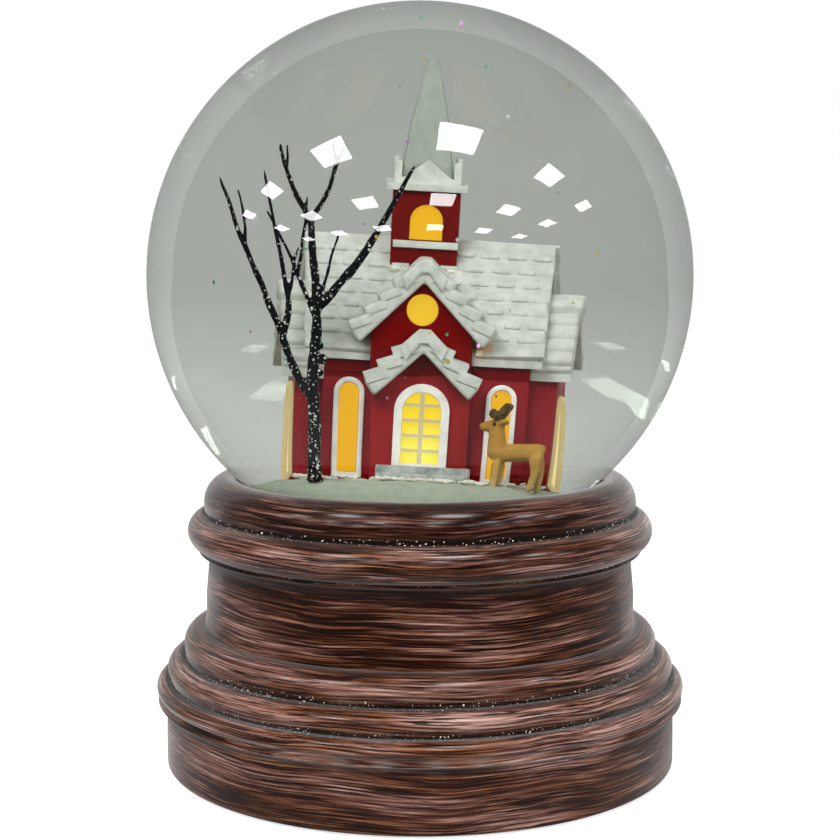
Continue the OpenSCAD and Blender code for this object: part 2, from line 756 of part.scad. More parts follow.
module globe_seal() {
    color([0.2, 0.2, 0.2]) difference() {
        translate([0, 0, web_top]) cylinder(h = seal_top - web_top, r = mouth_r);
        translate([0, 0, web_top - cut]) cylinder(h = 20, r = bore_r);
        translate([0, 0, globe_z]) sphere(globe_r);
    }
}

module clamp_plate() {
    color([0.85, 0.85, 0.82]) difference() {
        union() {
            translate([0, 0, clamp_bottom]) cylinder(h = clamp_t, r = upper_hollow_r - 0.5);
            ring_of(3, post_ring_r, 30) translate([0, 0, board_z + board_t])
                cylinder(h = clamp_bottom - board_z - board_t + 1, r = 3);
        }
        translate([0, 0, clamp_bottom - cut]) cylinder(h = clamp_t + 1, r = post_ring_r - 5);
        ring_of(3, screw_ring_r, 90) translate([0, 0, clamp_bottom - cut]) cylinder(h = 10, r = screw_r + 0.1);
        ring_of(3, post_ring_r, 30) translate([0, 0, board_z]) cylinder(h = 6, r = screw_r - 0.25);
    }
}

// pan-head screw: underside of the head at z = 0, shank up
module screw(r, length, head_r, head_h) {
    cylinder(h = length, r = r);
    difference() {
        translate([0, 0, -head_h]) cylinder(h = head_h, r = head_r);
        for (a = [0, 90]) rotate(a) translate([-head_r * 0.6, -0.3, -head_h - cut])
            cube([head_r * 1.2, 0.6, cut + 0.6]);
    }
}

module clamp_screws() {
    color([0.7, 0.7, 0.72]) ring_of(3, screw_ring_r, 90) translate([0, 0, clamp_bottom])
        screw(screw_r, 11, 2.4, 1.4);
}

// ---------- light ----------
module light_board() {
    color([0.1, 0.35, 0.2]) difference() {
        translate([0, 0, board_z]) cylinder(h = board_t, r = board_r);
        ring_of(3, post_ring_r, 30) translate([0, 0, board_z - cut]) cylinder(h = 5, r = screw_r - 0.15);
    }
}

module light_leds() {
    color([1, 0.93, 0.7]) ring_of(3, led_ring_r) translate([0, 0, board_z + board_t]) {
        cylinder(h = 1, r = 2.9);
        cylinder(h = 3, r = 2.5);
        translate([0, 0, 3]) sphere(2.5);
    }
}

module board_screws() {
    color([0.7, 0.7, 0.72]) ring_of(3, post_ring_r, 30) translate([0, 0, board_z])
        screw(screw_r - 0.25, 5.4, 2, 1.2);
}

// two leads up from the battery box to the board, and two across to the switch
module light_wires() {
    wire_r = 0.8;
    color([0.75, 0.1, 0.1]) for (s = [-1, 1]) {
        translate([9 * s, 12, box_top]) cylinder(h = board_z - box_top, r = wire_r);
        translate([2 * s, bay_in_y + box_t, plate_top + 2]) rotate([-90, 0, 0])
            cylinder(h = switch_y - switch_half_y - bay_in_y - box_t, r = wire_r);
    }
}

// ---------- battery compartment ----------
module battery_box() {
    color([0.12, 0.12, 0.12]) difference() {
        translate([-bay_in_x - box_t, -bay_in_y - box_t, plate_top])
            cube([2 * (bay_in_x + box_t), 2 * (bay_in_y + box_t), box_top - plate_top]);
        translate([-bay_in_x, -bay_in_y, plate_top - cut])
            cube([2 * bay_in_x, 2 * bay_in_y, box_top - plate_top - box_t + cut]);
    }
}

module batteries() {
    cap_l = 1;
    color([0.55, 0.58, 0.6]) for (i = [-1 : 1])
        translate([(i == 0 ? 1 : -1) * spring_l / 2, i * cell_pitch, cell_z]) rotate([0, i == 0 ? 90 : -90, 0]) {
            translate([0, 0, -cell_l / 2]) cylinder(h = cell_l - cap_l, r = cell_r);
            translate([0, 0, cell_l / 2 - cap_l]) cylinder(h = cap_l, r = 2.75);
        }
}

module contact_plates() {
    half = 5;
    color([0.8, 0.8, 0.8]) for (i = [-1 : 1], s = [-1, 1])
        translate([s > 0 ? bay_in_x - contact_t : -bay_in_x, i * cell_pitch - half, cell_z - half])
            cube([contact_t, 2 * half, 2 * half]);
}

// a conical coil between each cell's flat end and its contact plate
module battery_springs() {
    turns = 2.5;
    steps = 26;
    wire = 0.35;
    color([0.8, 0.8, 0.8]) for (i = [-1 : 1]) {
        s = i == 0 ? -1 : 1;
        pts = [for (k = [0 : steps]) let (t = k / steps, a = 360 * turns * t, r = 4 - 1.6 * t)
            [s * (bay_in_x - contact_t - wire - t * (spring_l - 2 * wire)), i * cell_pitch + r * cos(a), cell_z + r * sin(a)]];
        tube(pts, [for (k = [0 : steps]) wire], 5, [1, 0, 0]);
    }
}

module battery_door() {
    color(wood) difference() {
        union() {
            translate([-bay_in_x + 0.2, -bay_in_y + door_gap, plate_bottom])
                cube([2 * bay_in_x - 0.4, 2 * bay_in_y - door_gap - 0.2, door_t]);
            for (s = [-1, 1]) translate([s * knuckle_x - knuckle_w / 2, hinge_y, hinge_z]) {
                rotate([0, 90, 0]) cylinder(h = knuckle_w, r = knuckle_r);
                translate([0, 0, -knuckle_r]) cube([knuckle_w, door_gap + 1 - bay_in_y - hinge_y, door_t]);
            }
        }
        translate([-bay_in_x, hinge_y, hinge_z]) rotate([0, 90, 0])
            cylinder(h = 2 * bay_in_x, r = hinge_pin_r + fit);
        // thumb scoop
        translate([0, bay_in_y - 4, plate_bottom - 7.2]) sphere(8);
    }
}

module door_hinge_pin() {
    color([0.75, 0.75, 0.77]) translate([-knuckle_x - knuckle_w / 2 - 2, hinge_y, hinge_z])
        rotate([0, 90, 0]) cylinder(h = 2 * knuckle_x + knuckle_w + 4, r = hinge_pin_r);
}

// ---------- bottom plate and switch ----------
module bottom_plate() {
    slot = 0.4;
    color([0.1, 0.1, 0.1]) difference() {
        union() {
            translate([0, 0, plate_bottom]) cylinder(h = plate_t, r = plate_r);
            // rib that carries the hinge pin
            translate([-knuckle_x - knuckle_w / 2 - 2.4, hinge_y - rib_half, plate_top - 0.5])
                cube([2 * knuckle_x + knuckle_w + 4.8, rib_half + 3 - box_t - 0.1, knuckle_r * 2 - plate_t + 1.6]);
        }
        translate([-bay_in_x, -bay_in_y, plate_bottom - cut]) cube([2 * bay_in_x, 2 * bay_in_y, plate_t + 3]);
        for (s = [-1, 1]) translate([s * knuckle_x - knuckle_w / 2 - slot, hinge_y - knuckle_r - slot, plate_bottom - cut])
            cube([knuckle_w + 2 * slot, knuckle_r + slot - hinge_y, 2 * knuckle_r + slot + cut]);
        translate([-knuckle_x - knuckle_w / 2 - 2, hinge_y, hinge_z]) rotate([0, 90, 0])
            cylinder(h = 2 * knuckle_x + knuckle_w + 4, r = hinge_pin_r);
        ring_of(4, plate_screw_ring_r) translate([0, 0, plate_bottom - cut]) {
            cylinder(h = 5, r = screw_r + 0.1);
            cylinder(h = 1.4 + cut, r = 3);
        }
        // slot for the switch knob
        translate([-(switch_travel + knob_l) / 2 - 0.2, switch_y - knob_w / 2 - 0.2, plate_bottom - cut])
            cube([switch_travel + knob_l + 0.4, knob_w + 0.4, plate_t + 1]);
    }
}

module plate_screws() {
    color([0.7, 0.7, 0.72]) ring_of(4, plate_screw_ring_r) translate([0, 0, plate_bottom + 1.4])
        screw(screw_r, 11, 2.8, 1.4);
}

module switch_body() {
    half_x = (switch_travel + shoe_l) / 2 + 1.2;
    color([0.3, 0.3, 0.32]) difference() {
        translate([-half_x, switch_y - switch_half_y, plate_top])
            cube([2 * half_x, 2 * switch_half_y, shoe_h + 3]);
        translate([-(switch_travel + shoe_l) / 2 - 0.1, switch_y - shoe_w / 2 - fit, plate_top - cut])
            cube([switch_travel + shoe_l + 0.2, shoe_w + 2 * fit, shoe_h + 2 * fit + cut]);
    }
}

module switch_knob() {
    color([0.85, 0.85, 0.85]) translate([-switch_travel / 2, switch_y, 0]) {
        translate([-shoe_l / 2, -shoe_w / 2, plate_top + fit]) cube([shoe_l, shoe_w, shoe_h]);
        translate([-knob_l / 2, -knob_w / 2, plate_bottom - 0.6]) cube([knob_l, knob_w, plate_t + 1]);
    }
}

module rubber_feet() {
    color([0.08, 0.08, 0.08]) ring_of(4, feet_ring_r, 45) cylinder(h = plate_bottom, r = feet_r);
}

glass_globe();
rubber_stopper();
light_window();
snow_ground();
chapel_walls();
entrance_walls();
nave_roof();
wing_roofs();
entrance_roof();
porch_roof();
tower_walls();
tower_cornice();
spire();
window_frames();
window_panes();
door_frame();
door_pane();
entrance_steps();
tree();
deer();
deer_antlers();
base_casing();
globe_seal();
clamp_plate();
clamp_screws();
light_board();
light_leds();
board_screws();
light_wires();
battery_box();
batteries();
battery_springs();
contact_plates();
switch_body();
switch_knob();
battery_door();
door_hinge_pin();
bottom_plate();
plate_screws();
rubber_feet();
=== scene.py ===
"""Looks of the snow globe: a water-filled glass ball on a turned base, with a chapel, a bare tree and a deer.

Sizes are in millimetres and are the ones in the part's source, unless a name says otherwise.
Chapel places are [u, v, w]: u along the ridge, v away from the front, w up from the snow.
"""

import json
import random
from math import atan, cos, hypot, pi, radians, sin, sqrt

import bmesh
import bpy
from mathutils import Matrix, Vector, noise
from mathutils.bvhtree import BVHTree


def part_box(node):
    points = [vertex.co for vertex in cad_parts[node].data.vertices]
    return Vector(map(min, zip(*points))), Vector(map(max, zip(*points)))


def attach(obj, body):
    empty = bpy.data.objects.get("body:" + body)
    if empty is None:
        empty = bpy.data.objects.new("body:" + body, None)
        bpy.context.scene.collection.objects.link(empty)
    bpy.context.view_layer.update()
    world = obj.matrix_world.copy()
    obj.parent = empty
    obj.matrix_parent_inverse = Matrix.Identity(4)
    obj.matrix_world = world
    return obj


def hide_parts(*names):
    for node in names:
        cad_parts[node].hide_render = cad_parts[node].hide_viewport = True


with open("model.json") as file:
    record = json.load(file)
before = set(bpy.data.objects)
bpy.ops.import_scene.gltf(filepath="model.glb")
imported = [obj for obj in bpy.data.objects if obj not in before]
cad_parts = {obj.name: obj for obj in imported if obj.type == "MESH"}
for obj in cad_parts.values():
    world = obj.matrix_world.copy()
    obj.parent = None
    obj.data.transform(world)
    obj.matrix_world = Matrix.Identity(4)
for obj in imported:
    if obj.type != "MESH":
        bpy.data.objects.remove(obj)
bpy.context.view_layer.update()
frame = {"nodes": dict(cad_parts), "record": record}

MM = 0.001
slot_of = {part["node"]: part["material_slot"] for part in frame["record"]["subparts"]}

# ---------- sizes shared with the part's source ----------
ball_low, ball_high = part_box("glass_globe")
GLOBE_R = (ball_high.x - ball_low.x) / 2 / MM
GLOBE_Z = ball_high.z / MM - GLOBE_R
GLASS_T = 2.6
GLASS_IN = GLOBE_R - GLASS_T
GLASS_INDEX = 1.5
WATER_INDEX = 1.333
NECK_R = 42
NECK_OUT = 44.5
STOPPER_TOP = GLOBE_Z - sqrt(GLASS_IN ** 2 - NECK_R ** 2)
NECK_BOTTOM = STOPPER_TOP - 18
GROUND_Z = STOPPER_TOP + 13.67
CHAPEL_FRONT = 17
LEAN = radians(3.3)

NAVE_HALF = 22.2
NAVE_MID = 21.1
RIDGE_W = 53
EAVE_OUT = 1.6
NAVE_OVER = (4.4, 2.8)
NAVE_ROWS = 8
NAVE_WALL_W = RIDGE_W - 2.9 - NAVE_MID
WING_HALF = 28.2
WING_BACK = 3.2
WING_DEPTH = 23.4
WING_RIDGE_V = 16
WING_RIDGE_W = 42.4
WING_OVER = 3.2
WING_EAVES = ((3.6, 3), (1.5, 0.4))
END_U = 25              # windows further out than this are in the end walls
BAY_U = -0.6
BAY_HALF = 10.7
BAY_OUT = 3.9
GABLE_U = -1.6
GABLE_TOP_W = 50
GABLE_SLOPE = 1.0275
GABLE_RUN = 15.6
VERGE_OUT = 2.3
PORCH_U = -0.9
PORCH_TOP_W = 35
PORCH_SLOPE = 0.97
PORCH_RUN = 12.6
PORCH_OUT = 4.7
STEP_U = 0.4
STEP_FRONT_V = -10.3
FRIEZE_W = 24.8
DOOR_HALF = 4.25
DOOR_TOP_W = 21.2
RIDGE_STEP = 6.2
TOWER_U = -2.15
TOWER_V = 22
TOWER_CLEAR = 6.2
SIN_45 = sqrt(0.5)      # the nave and the wings have roofs at 45 degrees
SNOW_FLAT_R = 25
SNOW_EDGE_R = 41.4
SNOW_FALL = 9

MOUTH_R = 51.6
MOUTH_Z = 80.17
RING_Z = MOUTH_Z - 6.57
BEAD_R = 64.9
BEAD_Z = 65.8
WAIST_R = 59.4
STEP_HIGH_R = 66.2
STEP_LOW_R = 70.8
RIM_R = 73.9
RIM_Z = 22.4
BAND_R = 71.3
BAND_TOP = 15.4
FOOT_GAP = 0.6

in_chapel = Matrix.Translation((0, -CHAPEL_FRONT, GROUND_Z)) @ Matrix.Rotation(LEAN, 4, "Y")
in_ground = Matrix.Translation((0, 0, GROUND_Z)) @ Matrix.Rotation(LEAN, 4, "Y")

# ---------- image points and camera ----------
W, H = 840, 840
POINTS = {
    "globe_left": (146.3, 278.6),
    "globe_right": (693.7, 278.6),
    "globe_top": (420.5, 0.5),
    "base_bottom": (420, 839),
    "rim_left": (157, 686),
    "rim_right": (684, 686),
    "bead_left": (187, 530),
    "bead_right": (654, 530),
    "spire_tip": (433.4, 60.7),
    "gable_tip_left": (351.2, 329.4),
    "gable_tip_right": (492.1, 337.5),
    "round_window": (423, 310),
    "door_frame_top": (421, 384),
    "left_window_top": (348.5, 376.5),
    "right_window_top": (499.5, 384),
    "step_left": (375.1, 466.7),
    "step_right": (469.9, 470.6),
    "trunk_foot": (315.5, 475),
    "deer_tail": (546, 449.6),
    "deer_eye": (494.2, 424),
}
LENS = 72.73
SENSOR = 36
CAMERA_AT = (0, -472.4, 146.2)
CAMERA_DOWN = 6.12


def linked(name, data):
    made = bpy.data.objects.new(name, data)
    bpy.context.scene.collection.objects.link(made)
    return made


def make_camera():
    data = bpy.data.cameras.new("camera")
    data.lens = LENS
    data.sensor_width = SENSOR
    data.sensor_fit = "AUTO"
    data.clip_start = 0.01
    made = linked("camera", data)
    made.location = Vector(CAMERA_AT) * MM
    made.rotation_euler = (radians(90 - CAMERA_DOWN), 0, 0)
    bpy.context.scene.camera = made
    bpy.context.view_layer.update()
    return made


camera = make_camera()
ball_centre = Vector((0, 0, GLOBE_Z)) * MM


def pixel_ray(x, y):
    """Start and direction of the camera's ray through an image point."""
    size = max(W, H)
    shift_x, shift_y = camera.data.shift_x, camera.data.shift_y
    away = Vector((x - W / 2 + shift_x * size, H / 2 - y + shift_y * size, -size * LENS / SENSOR))
    return camera.location.copy(), (camera.matrix_world.to_3x3() @ away).normalized()


def bend_into(start, along, radius, ratio):
    """Where a ray enters a sphere about the ball's centre and its bent direction, or None."""
    off = start - ball_centre
    half = off.dot(along)
    root = half * half - off.length_squared + radius * radius
    if root < 0:
        return None
    at = start + along * (-half - sqrt(root))
    normal = (at - ball_centre).normalized()
    across = -normal.dot(along)
    left = 1 - ratio * ratio * (1 - across * across)
    return at, (along * ratio + normal * (ratio * across - sqrt(left))).normalized()


def water_ray(x, y):
    """The ray through an image point once it has passed the glass into the water, or None."""
    outer = bend_into(*pixel_ray(x, y), GLOBE_R * MM, 1 / GLASS_INDEX)
    return outer and bend_into(*outer, GLASS_IN * MM, GLASS_INDEX / WATER_INDEX)


def on_surface(point, carrier):
    """The place on a carrier in the water that a named image point shows, and the surface's normal there."""
    start, along = water_ray(*POINTS[point])
    tree = BVHTree.FromObject(carrier, bpy.context.evaluated_depsgraph_get())
    hit = tree.ray_cast(start, along)
    if hit[0] is None:
        near = min((v.co for v in carrier.data.vertices), key=lambda p: (p - start).cross(along).length)
        hit = tree.find_nearest(near)
    return hit[:2]


def image_of(place, in_water):
    """The image point at which a place in metres shows, through the glass and water if it is in them."""
    def plain(p):
        seen = camera.matrix_world.inverted() @ p
        scale = max(W, H) * LENS / SENSOR / -seen.z
        return W / 2 + seen.x * scale, H / 2 - seen.y * scale
    x, y = plain(place)
    if not in_water:
        return x, y
    for _ in range(30):
        ray = water_ray(x, y)
        if ray is None:
            return x, y
        start, along = ray
        reached = start + along * ((place.y - start.y) / along.y)
        want, got = plain(place), plain(reached)
        x, y = x + 0.8 * (want[0] - got[0]), y + 0.8 * (want[1] - got[1])
    return x, y


# ---------- material helpers ----------
class Nodes:
    """A node tree built from plain calls. An input is filled by a number, a colour or a node's output."""

    def __init__(self, tree):
        self.tree = tree

    def fill(self, socket, value):
        if isinstance(value, bpy.types.NodeSocket):
            self.tree.links.new(value, socket)
        else:
            socket.default_value = value

    def node(self, kind, links=None, **settings):
        """Adds a node. Settings are its properties, and links fills its inputs."""
        made = self.tree.nodes.new("ShaderNode" + kind)
        for key, value in settings.items():
            setattr(made, key, value)
        for key, value in (links or {}).items():
            self.fill(made.inputs[key], value)
        return made

    def ramp(self, factor, *stops):
        """Colour ramp through (place, colour) stops. A colour is a grey or an (r, g, b)."""
        made = self.node("ValToRGB", {"Fac": factor})
        bar = made.color_ramp.elements
        while len(bar) < len(stops):
            bar.new(0.5)
        for element, (at, colour) in zip(bar, stops):
            element.position = at
            element.color = (*colour, 1) if isinstance(colour, tuple) else (colour, colour, colour, 1)
        return made.outputs[0]

    def math(self, operation, a, b=0.0, c=0.0):
        return self.node("Math", {0: a, 1: b, 2: c}, operation=operation).outputs[0]

    def plus(self, a, b):
        return self.math("ADD", a, b)

    def minus(self, a, b):
        return self.math("SUBTRACT", a, b)

    def times(self, a, b):
        return self.math("MULTIPLY", a, b)

    def fade(self, value, low, high, to_low=0.0, to_high=1.0):
        """Maps low..high to to_low..to_high, and no further."""
        return self.node("MapRange", {0: value, 1: low, 2: high, 3: to_low, 4: to_high}).outputs[0]

    def apart(self, vector):
        return self.node("SeparateXYZ", {0: vector}).outputs

    def from_axis(self, x, y):
        return self.math("SQRT", self.plus(self.times(x, x), self.times(y, y)))

    def choose(self, factor, a, b):
        """Number a where factor is 0, and b where it is 1."""
        return self.node("Mix", {0: factor, 2: a, 3: b}).outputs[0]

    def mix(self, factor, a, b):
        """Colour a where factor is 0, and b where it is 1."""
        a, b = [(*c, 1) if isinstance(c, tuple) else c for c in (a, b)]
        return self.node("Mix", {0: factor, 6: a, 7: b}, data_type="RGBA").outputs[2]


class Look(Nodes):
    """A material that ends in one Principled shader. In it, where is the object's place in millimetres."""

    def __init__(self, name, **sockets):
        self.made = bpy.data.materials.new(name)
        self.made.use_nodes = True
        super().__init__(self.made.node_tree)
        self.shader = self.tree.nodes["Principled BSDF"]
        self.where = self.place()
        for socket, value in sockets.items():
            self.set(socket.replace("_", " "), value)

    def set(self, name, value):
        self.fill(self.shader.inputs[name], value)

    def place(self, scale=(1, 1, 1)):
        """The object's place in millimetres, stretched by scale."""
        coords = self.node("TexCoord").outputs["Object"]
        return self.node("Mapping", {"Vector": coords, "Scale": [s / MM for s in scale]}).outputs[0]

    def noise(self, scale, detail=3, where=None):
        return self.node("TexNoise", {"Vector": where or self.where, "Scale": scale, "Detail": detail,
                                      "Roughness": 0.55}).outputs[0]

    def distance(self, spot):
        return self.node("VectorMath", {0: self.where, 1: spot}, operation="DISTANCE").outputs["Value"]

    def axes(self):
        return self.apart(self.where)

    def swap(self, factor, shader):
        """Shows another shader where factor is 1."""
        mixed = self.node("MixShader", {0: factor, 1: self.shader.outputs[0], 2: shader.outputs[0]})
        self.tree.links.new(mixed.outputs[0], self.tree.nodes["Material Output"].inputs["Surface"])
        return self.made

    def done(self, colour, height=None, distance=0.0, strength=1.0):
        """Ends the look with its colour, and a bump over a distance in millimetres if a height is given."""
        self.set("Base Color", colour)
        if height is not None:
            bump = self.node("Bump", {"Height": height, "Distance": distance * MM, "Strength": strength})
            self.set("Normal", bump.outputs[0])
        return self.made


def mottled(name, rough, dark, light, scale, bump=0.0, bump_scale=2.0, **sockets):
    """A plain finish whose colour drifts between two shades, with a fine uneven surface."""
    look = Look(name, Roughness=rough, **sockets)
    colour = look.ramp(look.noise(scale), (0.32, dark), (0.68, light))
    return look.done(colour, look.noise(bump_scale, 4) if bump else None, bump)


IN_WATER = 0.02        # specular level of paint seen in water, whose index is close to the paint's


def make_glass(name, ior):
    """Clear tinted glass that lets the lamps' light through as if it weren't there."""
    look = Look(name, Base_Color=(0.615, 0.637, 0.609, 1), Roughness=0.0, IOR=ior, Transmission_Weight=1.0)
    return look.swap(look.node("LightPath").outputs["Is Shadow Ray"], look.node("BsdfTransparent"))


# how light the wood is painted at heights in decimetres, about 0.5: painted light on the steps and the bead,
# painted shade on the waist, below the bead and on the ring
PAINTED_LIGHT_BY_HEIGHT = ((0.15, 0.5), (0.2, 0.535), (0.25, 0.553), (0.35, 0.553), (0.39, 0.485), (0.54, 0.485), (0.57, 0.43),
         (0.6, 0.43), (0.62, 0.513), (0.695, 0.513), (0.72, 0.45))


def make_wood():
    """Dark stained wood effect: brown and pinkish streaks that run round the turning, under varnish, with
    painted light and shade by height and painted shade in the grooves.
    """
    varnish = 0.6
    look = Look("dark_wood", Roughness=0.6, Coat_Weight=varnish, Coat_Roughness=0.18, Specular_IOR_Level=0.0,
                Sheen_Weight=0.5, Sheen_Roughness=0.35)
    x, y, z = look.axes()
    radius = look.from_axis(x, y)
    sway = look.times(look.noise(1.0, 1, look.place((0.025, 0.025, 0.02))), 4)

    def streaks(length, height, detail, offset, rough=0.5):
        """4-D noise: long round the turning, short across it wherever its surface faces."""
        at = look.node("CombineXYZ", {0: look.math("DIVIDE", x, length), 1: look.math("DIVIDE", y, length),
                                      2: look.math("DIVIDE", look.plus(z, sway), height)}).outputs[0]
        depth = look.plus(look.math("DIVIDE", radius, height), offset)
        return look.node("TexNoise", {"Vector": at, "W": depth, "Scale": 1.0, "Detail": detail,
                                      "Roughness": rough}, noise_dimensions="4D").outputs[0]

    broad = streaks(30, 5, 1, 0)
    fine = streaks(23, 0.52, 4, 40, 0.68)
    dashes = streaks(17, 0.42, 2, 90)
    # painted light and shade: lighter on the steps and the bead, darker on the waist, below the bead and on
    # the ring
    light_and_shade_by_height = look.ramp(look.times(z, 0.01), *PAINTED_LIGHT_BY_HEIGHT)
    tone = look.plus(fine, look.times(look.minus(broad, 0.52), 0.22))
    tone = look.plus(tone, look.minus(light_and_shade_by_height, 0.5))
    brown = look.ramp(tone, (0.36, (0.006, 0.001, 0.0003)), (0.45, (0.022, 0.005, 0.0015)),
                      (0.52, (0.075, 0.024, 0.01)), (0.59, (0.155, 0.06, 0.03)), (0.69, (0.31, 0.145, 0.085)))
    pink = look.ramp(tone, (0.36, (0.007, 0.0015, 0.001)), (0.45, (0.032, 0.009, 0.005)),
                     (0.52, (0.1, 0.042, 0.03)), (0.59, (0.2, 0.1, 0.08)), (0.69, (0.38, 0.235, 0.2)))
    colour = look.mix(look.ramp(broad, (0.42, 0.0), (0.6, 1.0)), brown, pink)
    lines = look.ramp(dashes, (0.55, 0.0), (0.595, 0.95))
    colour = look.mix(lines, colour, (0.006, 0.001, 0.0005))
    groove = look.node("Attribute", attribute_name="groove").outputs["Fac"]
    # painted shade: the wood goes near black in the grooves
    colour = look.mix(groove, colour, (0.006, 0.003, 0.002))
    specks = look.ramp(look.noise(1.9, 0), (0.73, 0.0), (0.77, 1.0))
    glitter = look.times(specks, look.ramp(groove, (0.45, 0.0), (0.7, 1.0)))
    colour = look.mix(glitter, colour, (0.7, 0.6, 0.52))
    look.set("Coat Weight", look.math("MULTIPLY_ADD", groove, -varnish, varnish))
    return look.done(colour, look.minus(fine, look.times(lines, 0.25)), 0.14, 0.5)


AMBER_LIGHT_SPOT = in_chapel @ Vector((11.3, 0, 31.5))        # a painted pool of amber light on the roof under the gable's right end


def make_resin_white(name, dark, light, rough=0.42, glow=0.0):
    """White paint over cast resin: softly uneven, slightly greyer in places, with a painted pool of amber
    light at one spot, and a faint painted glow where glow is given.
    """
    look = Look(name, Roughness=rough, Specular_IOR_Level=IN_WATER, Emission_Strength=glow)
    colour = look.ramp(look.noise(0.35, 4), (0.34, dark), (0.62, light))
    # painted amber light, pooled round one spot on the roof
    away = look.plus(look.distance(AMBER_LIGHT_SPOT), look.times(look.noise(0.7), 3))
    near = look.fade(away, 3.2, 5.0, 0.75, 0.0)
    return look.done(look.mix(near, colour, (0.72, 0.36, 0.05)), look.noise(1.3, 4), 0.12)


def make_red(name, plain, deep, low, high):
    """Crimson paint, a little worn and uneven, and deeper below and above the plain part of a wall."""
    look = Look(name, Roughness=0.35, Specular_IOR_Level=IN_WATER)
    tone = look.noise(0.22, 4, look.place((1, 1, 0.35)))
    edge = look.plus(look.axes()[2], look.times(look.noise(0.5, 2), 0.5))
    top = look.fade(edge, GROUND_Z + high, GROUND_Z + high + 0.3)
    foot = look.fade(edge, GROUND_Z + low + 0.3, GROUND_Z + low)
    darker = tuple(c * 0.8 for c in plain)
    colour = look.mix(look.math("MAXIMUM", top, foot), look.ramp(tone, (0.35, darker), (0.65, plain)), deep)
    specks = look.ramp(look.noise(1.5, 1), (0.77, 0.0), (0.8, 0.6))
    return look.done(look.mix(specks, colour, (0.42, 0.2, 0.18)), tone, 0.12)


def make_glow(name, edge, middle, spot, reach, strength, outer=None):
    """Lit pane: brightest near a spot and a little uneven, and paler in the end walls if outer is given."""
    look = Look(name, Roughness=0.35, Emission_Strength=strength, Specular_IOR_Level=IN_WATER)
    near = look.math("DIVIDE", look.distance(spot), reach)
    uneven = look.times(look.minus(look.noise(0.3, 2), 0.5), 0.5)
    colour = look.ramp(look.plus(near, uneven), (0.0, middle), (1.0, edge))
    if outer:
        at_end = look.math("GREATER_THAN", look.math("ABSOLUTE", look.axes()[0]), END_U)
        colour = look.mix(at_end, colour, outer)
    look.set("Emission Color", colour)
    return look.done(look.mix(0.75, colour, (0.02, 0.01, 0.0)))


def make_bark():
    """Black painted twigs with crisp flecks of white snow, thicker near the foot."""
    look = Look("bark", Roughness=0.45, Specular_IOR_Level=0.06)
    spread = look.fade(look.axes()[2], GROUND_Z, GROUND_Z + 55, 0.1, 0.0)
    wobble = look.times(look.minus(look.noise(2.2, 1), 0.5), 0.5)

    def dots(scale, radius, chance):
        cells = look.node("TexVoronoi", {"Vector": look.where, "Scale": scale})
        reach = look.plus(spread, radius)
        inside = look.math("LESS_THAN", look.plus(cells.outputs["Distance"], wobble), reach)
        lot = look.node("SeparateColor", {0: cells.outputs["Color"]}).outputs[0]
        return look.times(inside, look.math("LESS_THAN", lot, chance))

    flecks = look.math("MAXIMUM", dots(1.5, 0.2, 0.6), dots(0.8, 0.2, 0.3))
    return look.done(look.mix(flecks, (0.004, 0.004, 0.005), (0.8, 0.83, 0.8)),
                     look.plus(look.noise(1.1), look.times(flecks, 0.6)), 0.3)


def make_hide():
    """Golden brown deer paint: browner back and head, paler belly and legs."""
    look = Look("deer_hide", Roughness=0.42, Specular_IOR_Level=IN_WATER)
    up = look.fade(look.axes()[2], GROUND_Z - 2, GROUND_Z + 13, 0.15, 0.75)
    tone = look.plus(look.times(look.noise(0.45), 0.5), look.times(up, 0.55))
    colour = look.ramp(tone, (0.28, (0.61, 0.45, 0.2)), (0.45, (0.58, 0.33, 0.073)),
                       (0.72, (0.44, 0.205, 0.033)))
    return look.done(colour, look.noise(1.6), 0.12)


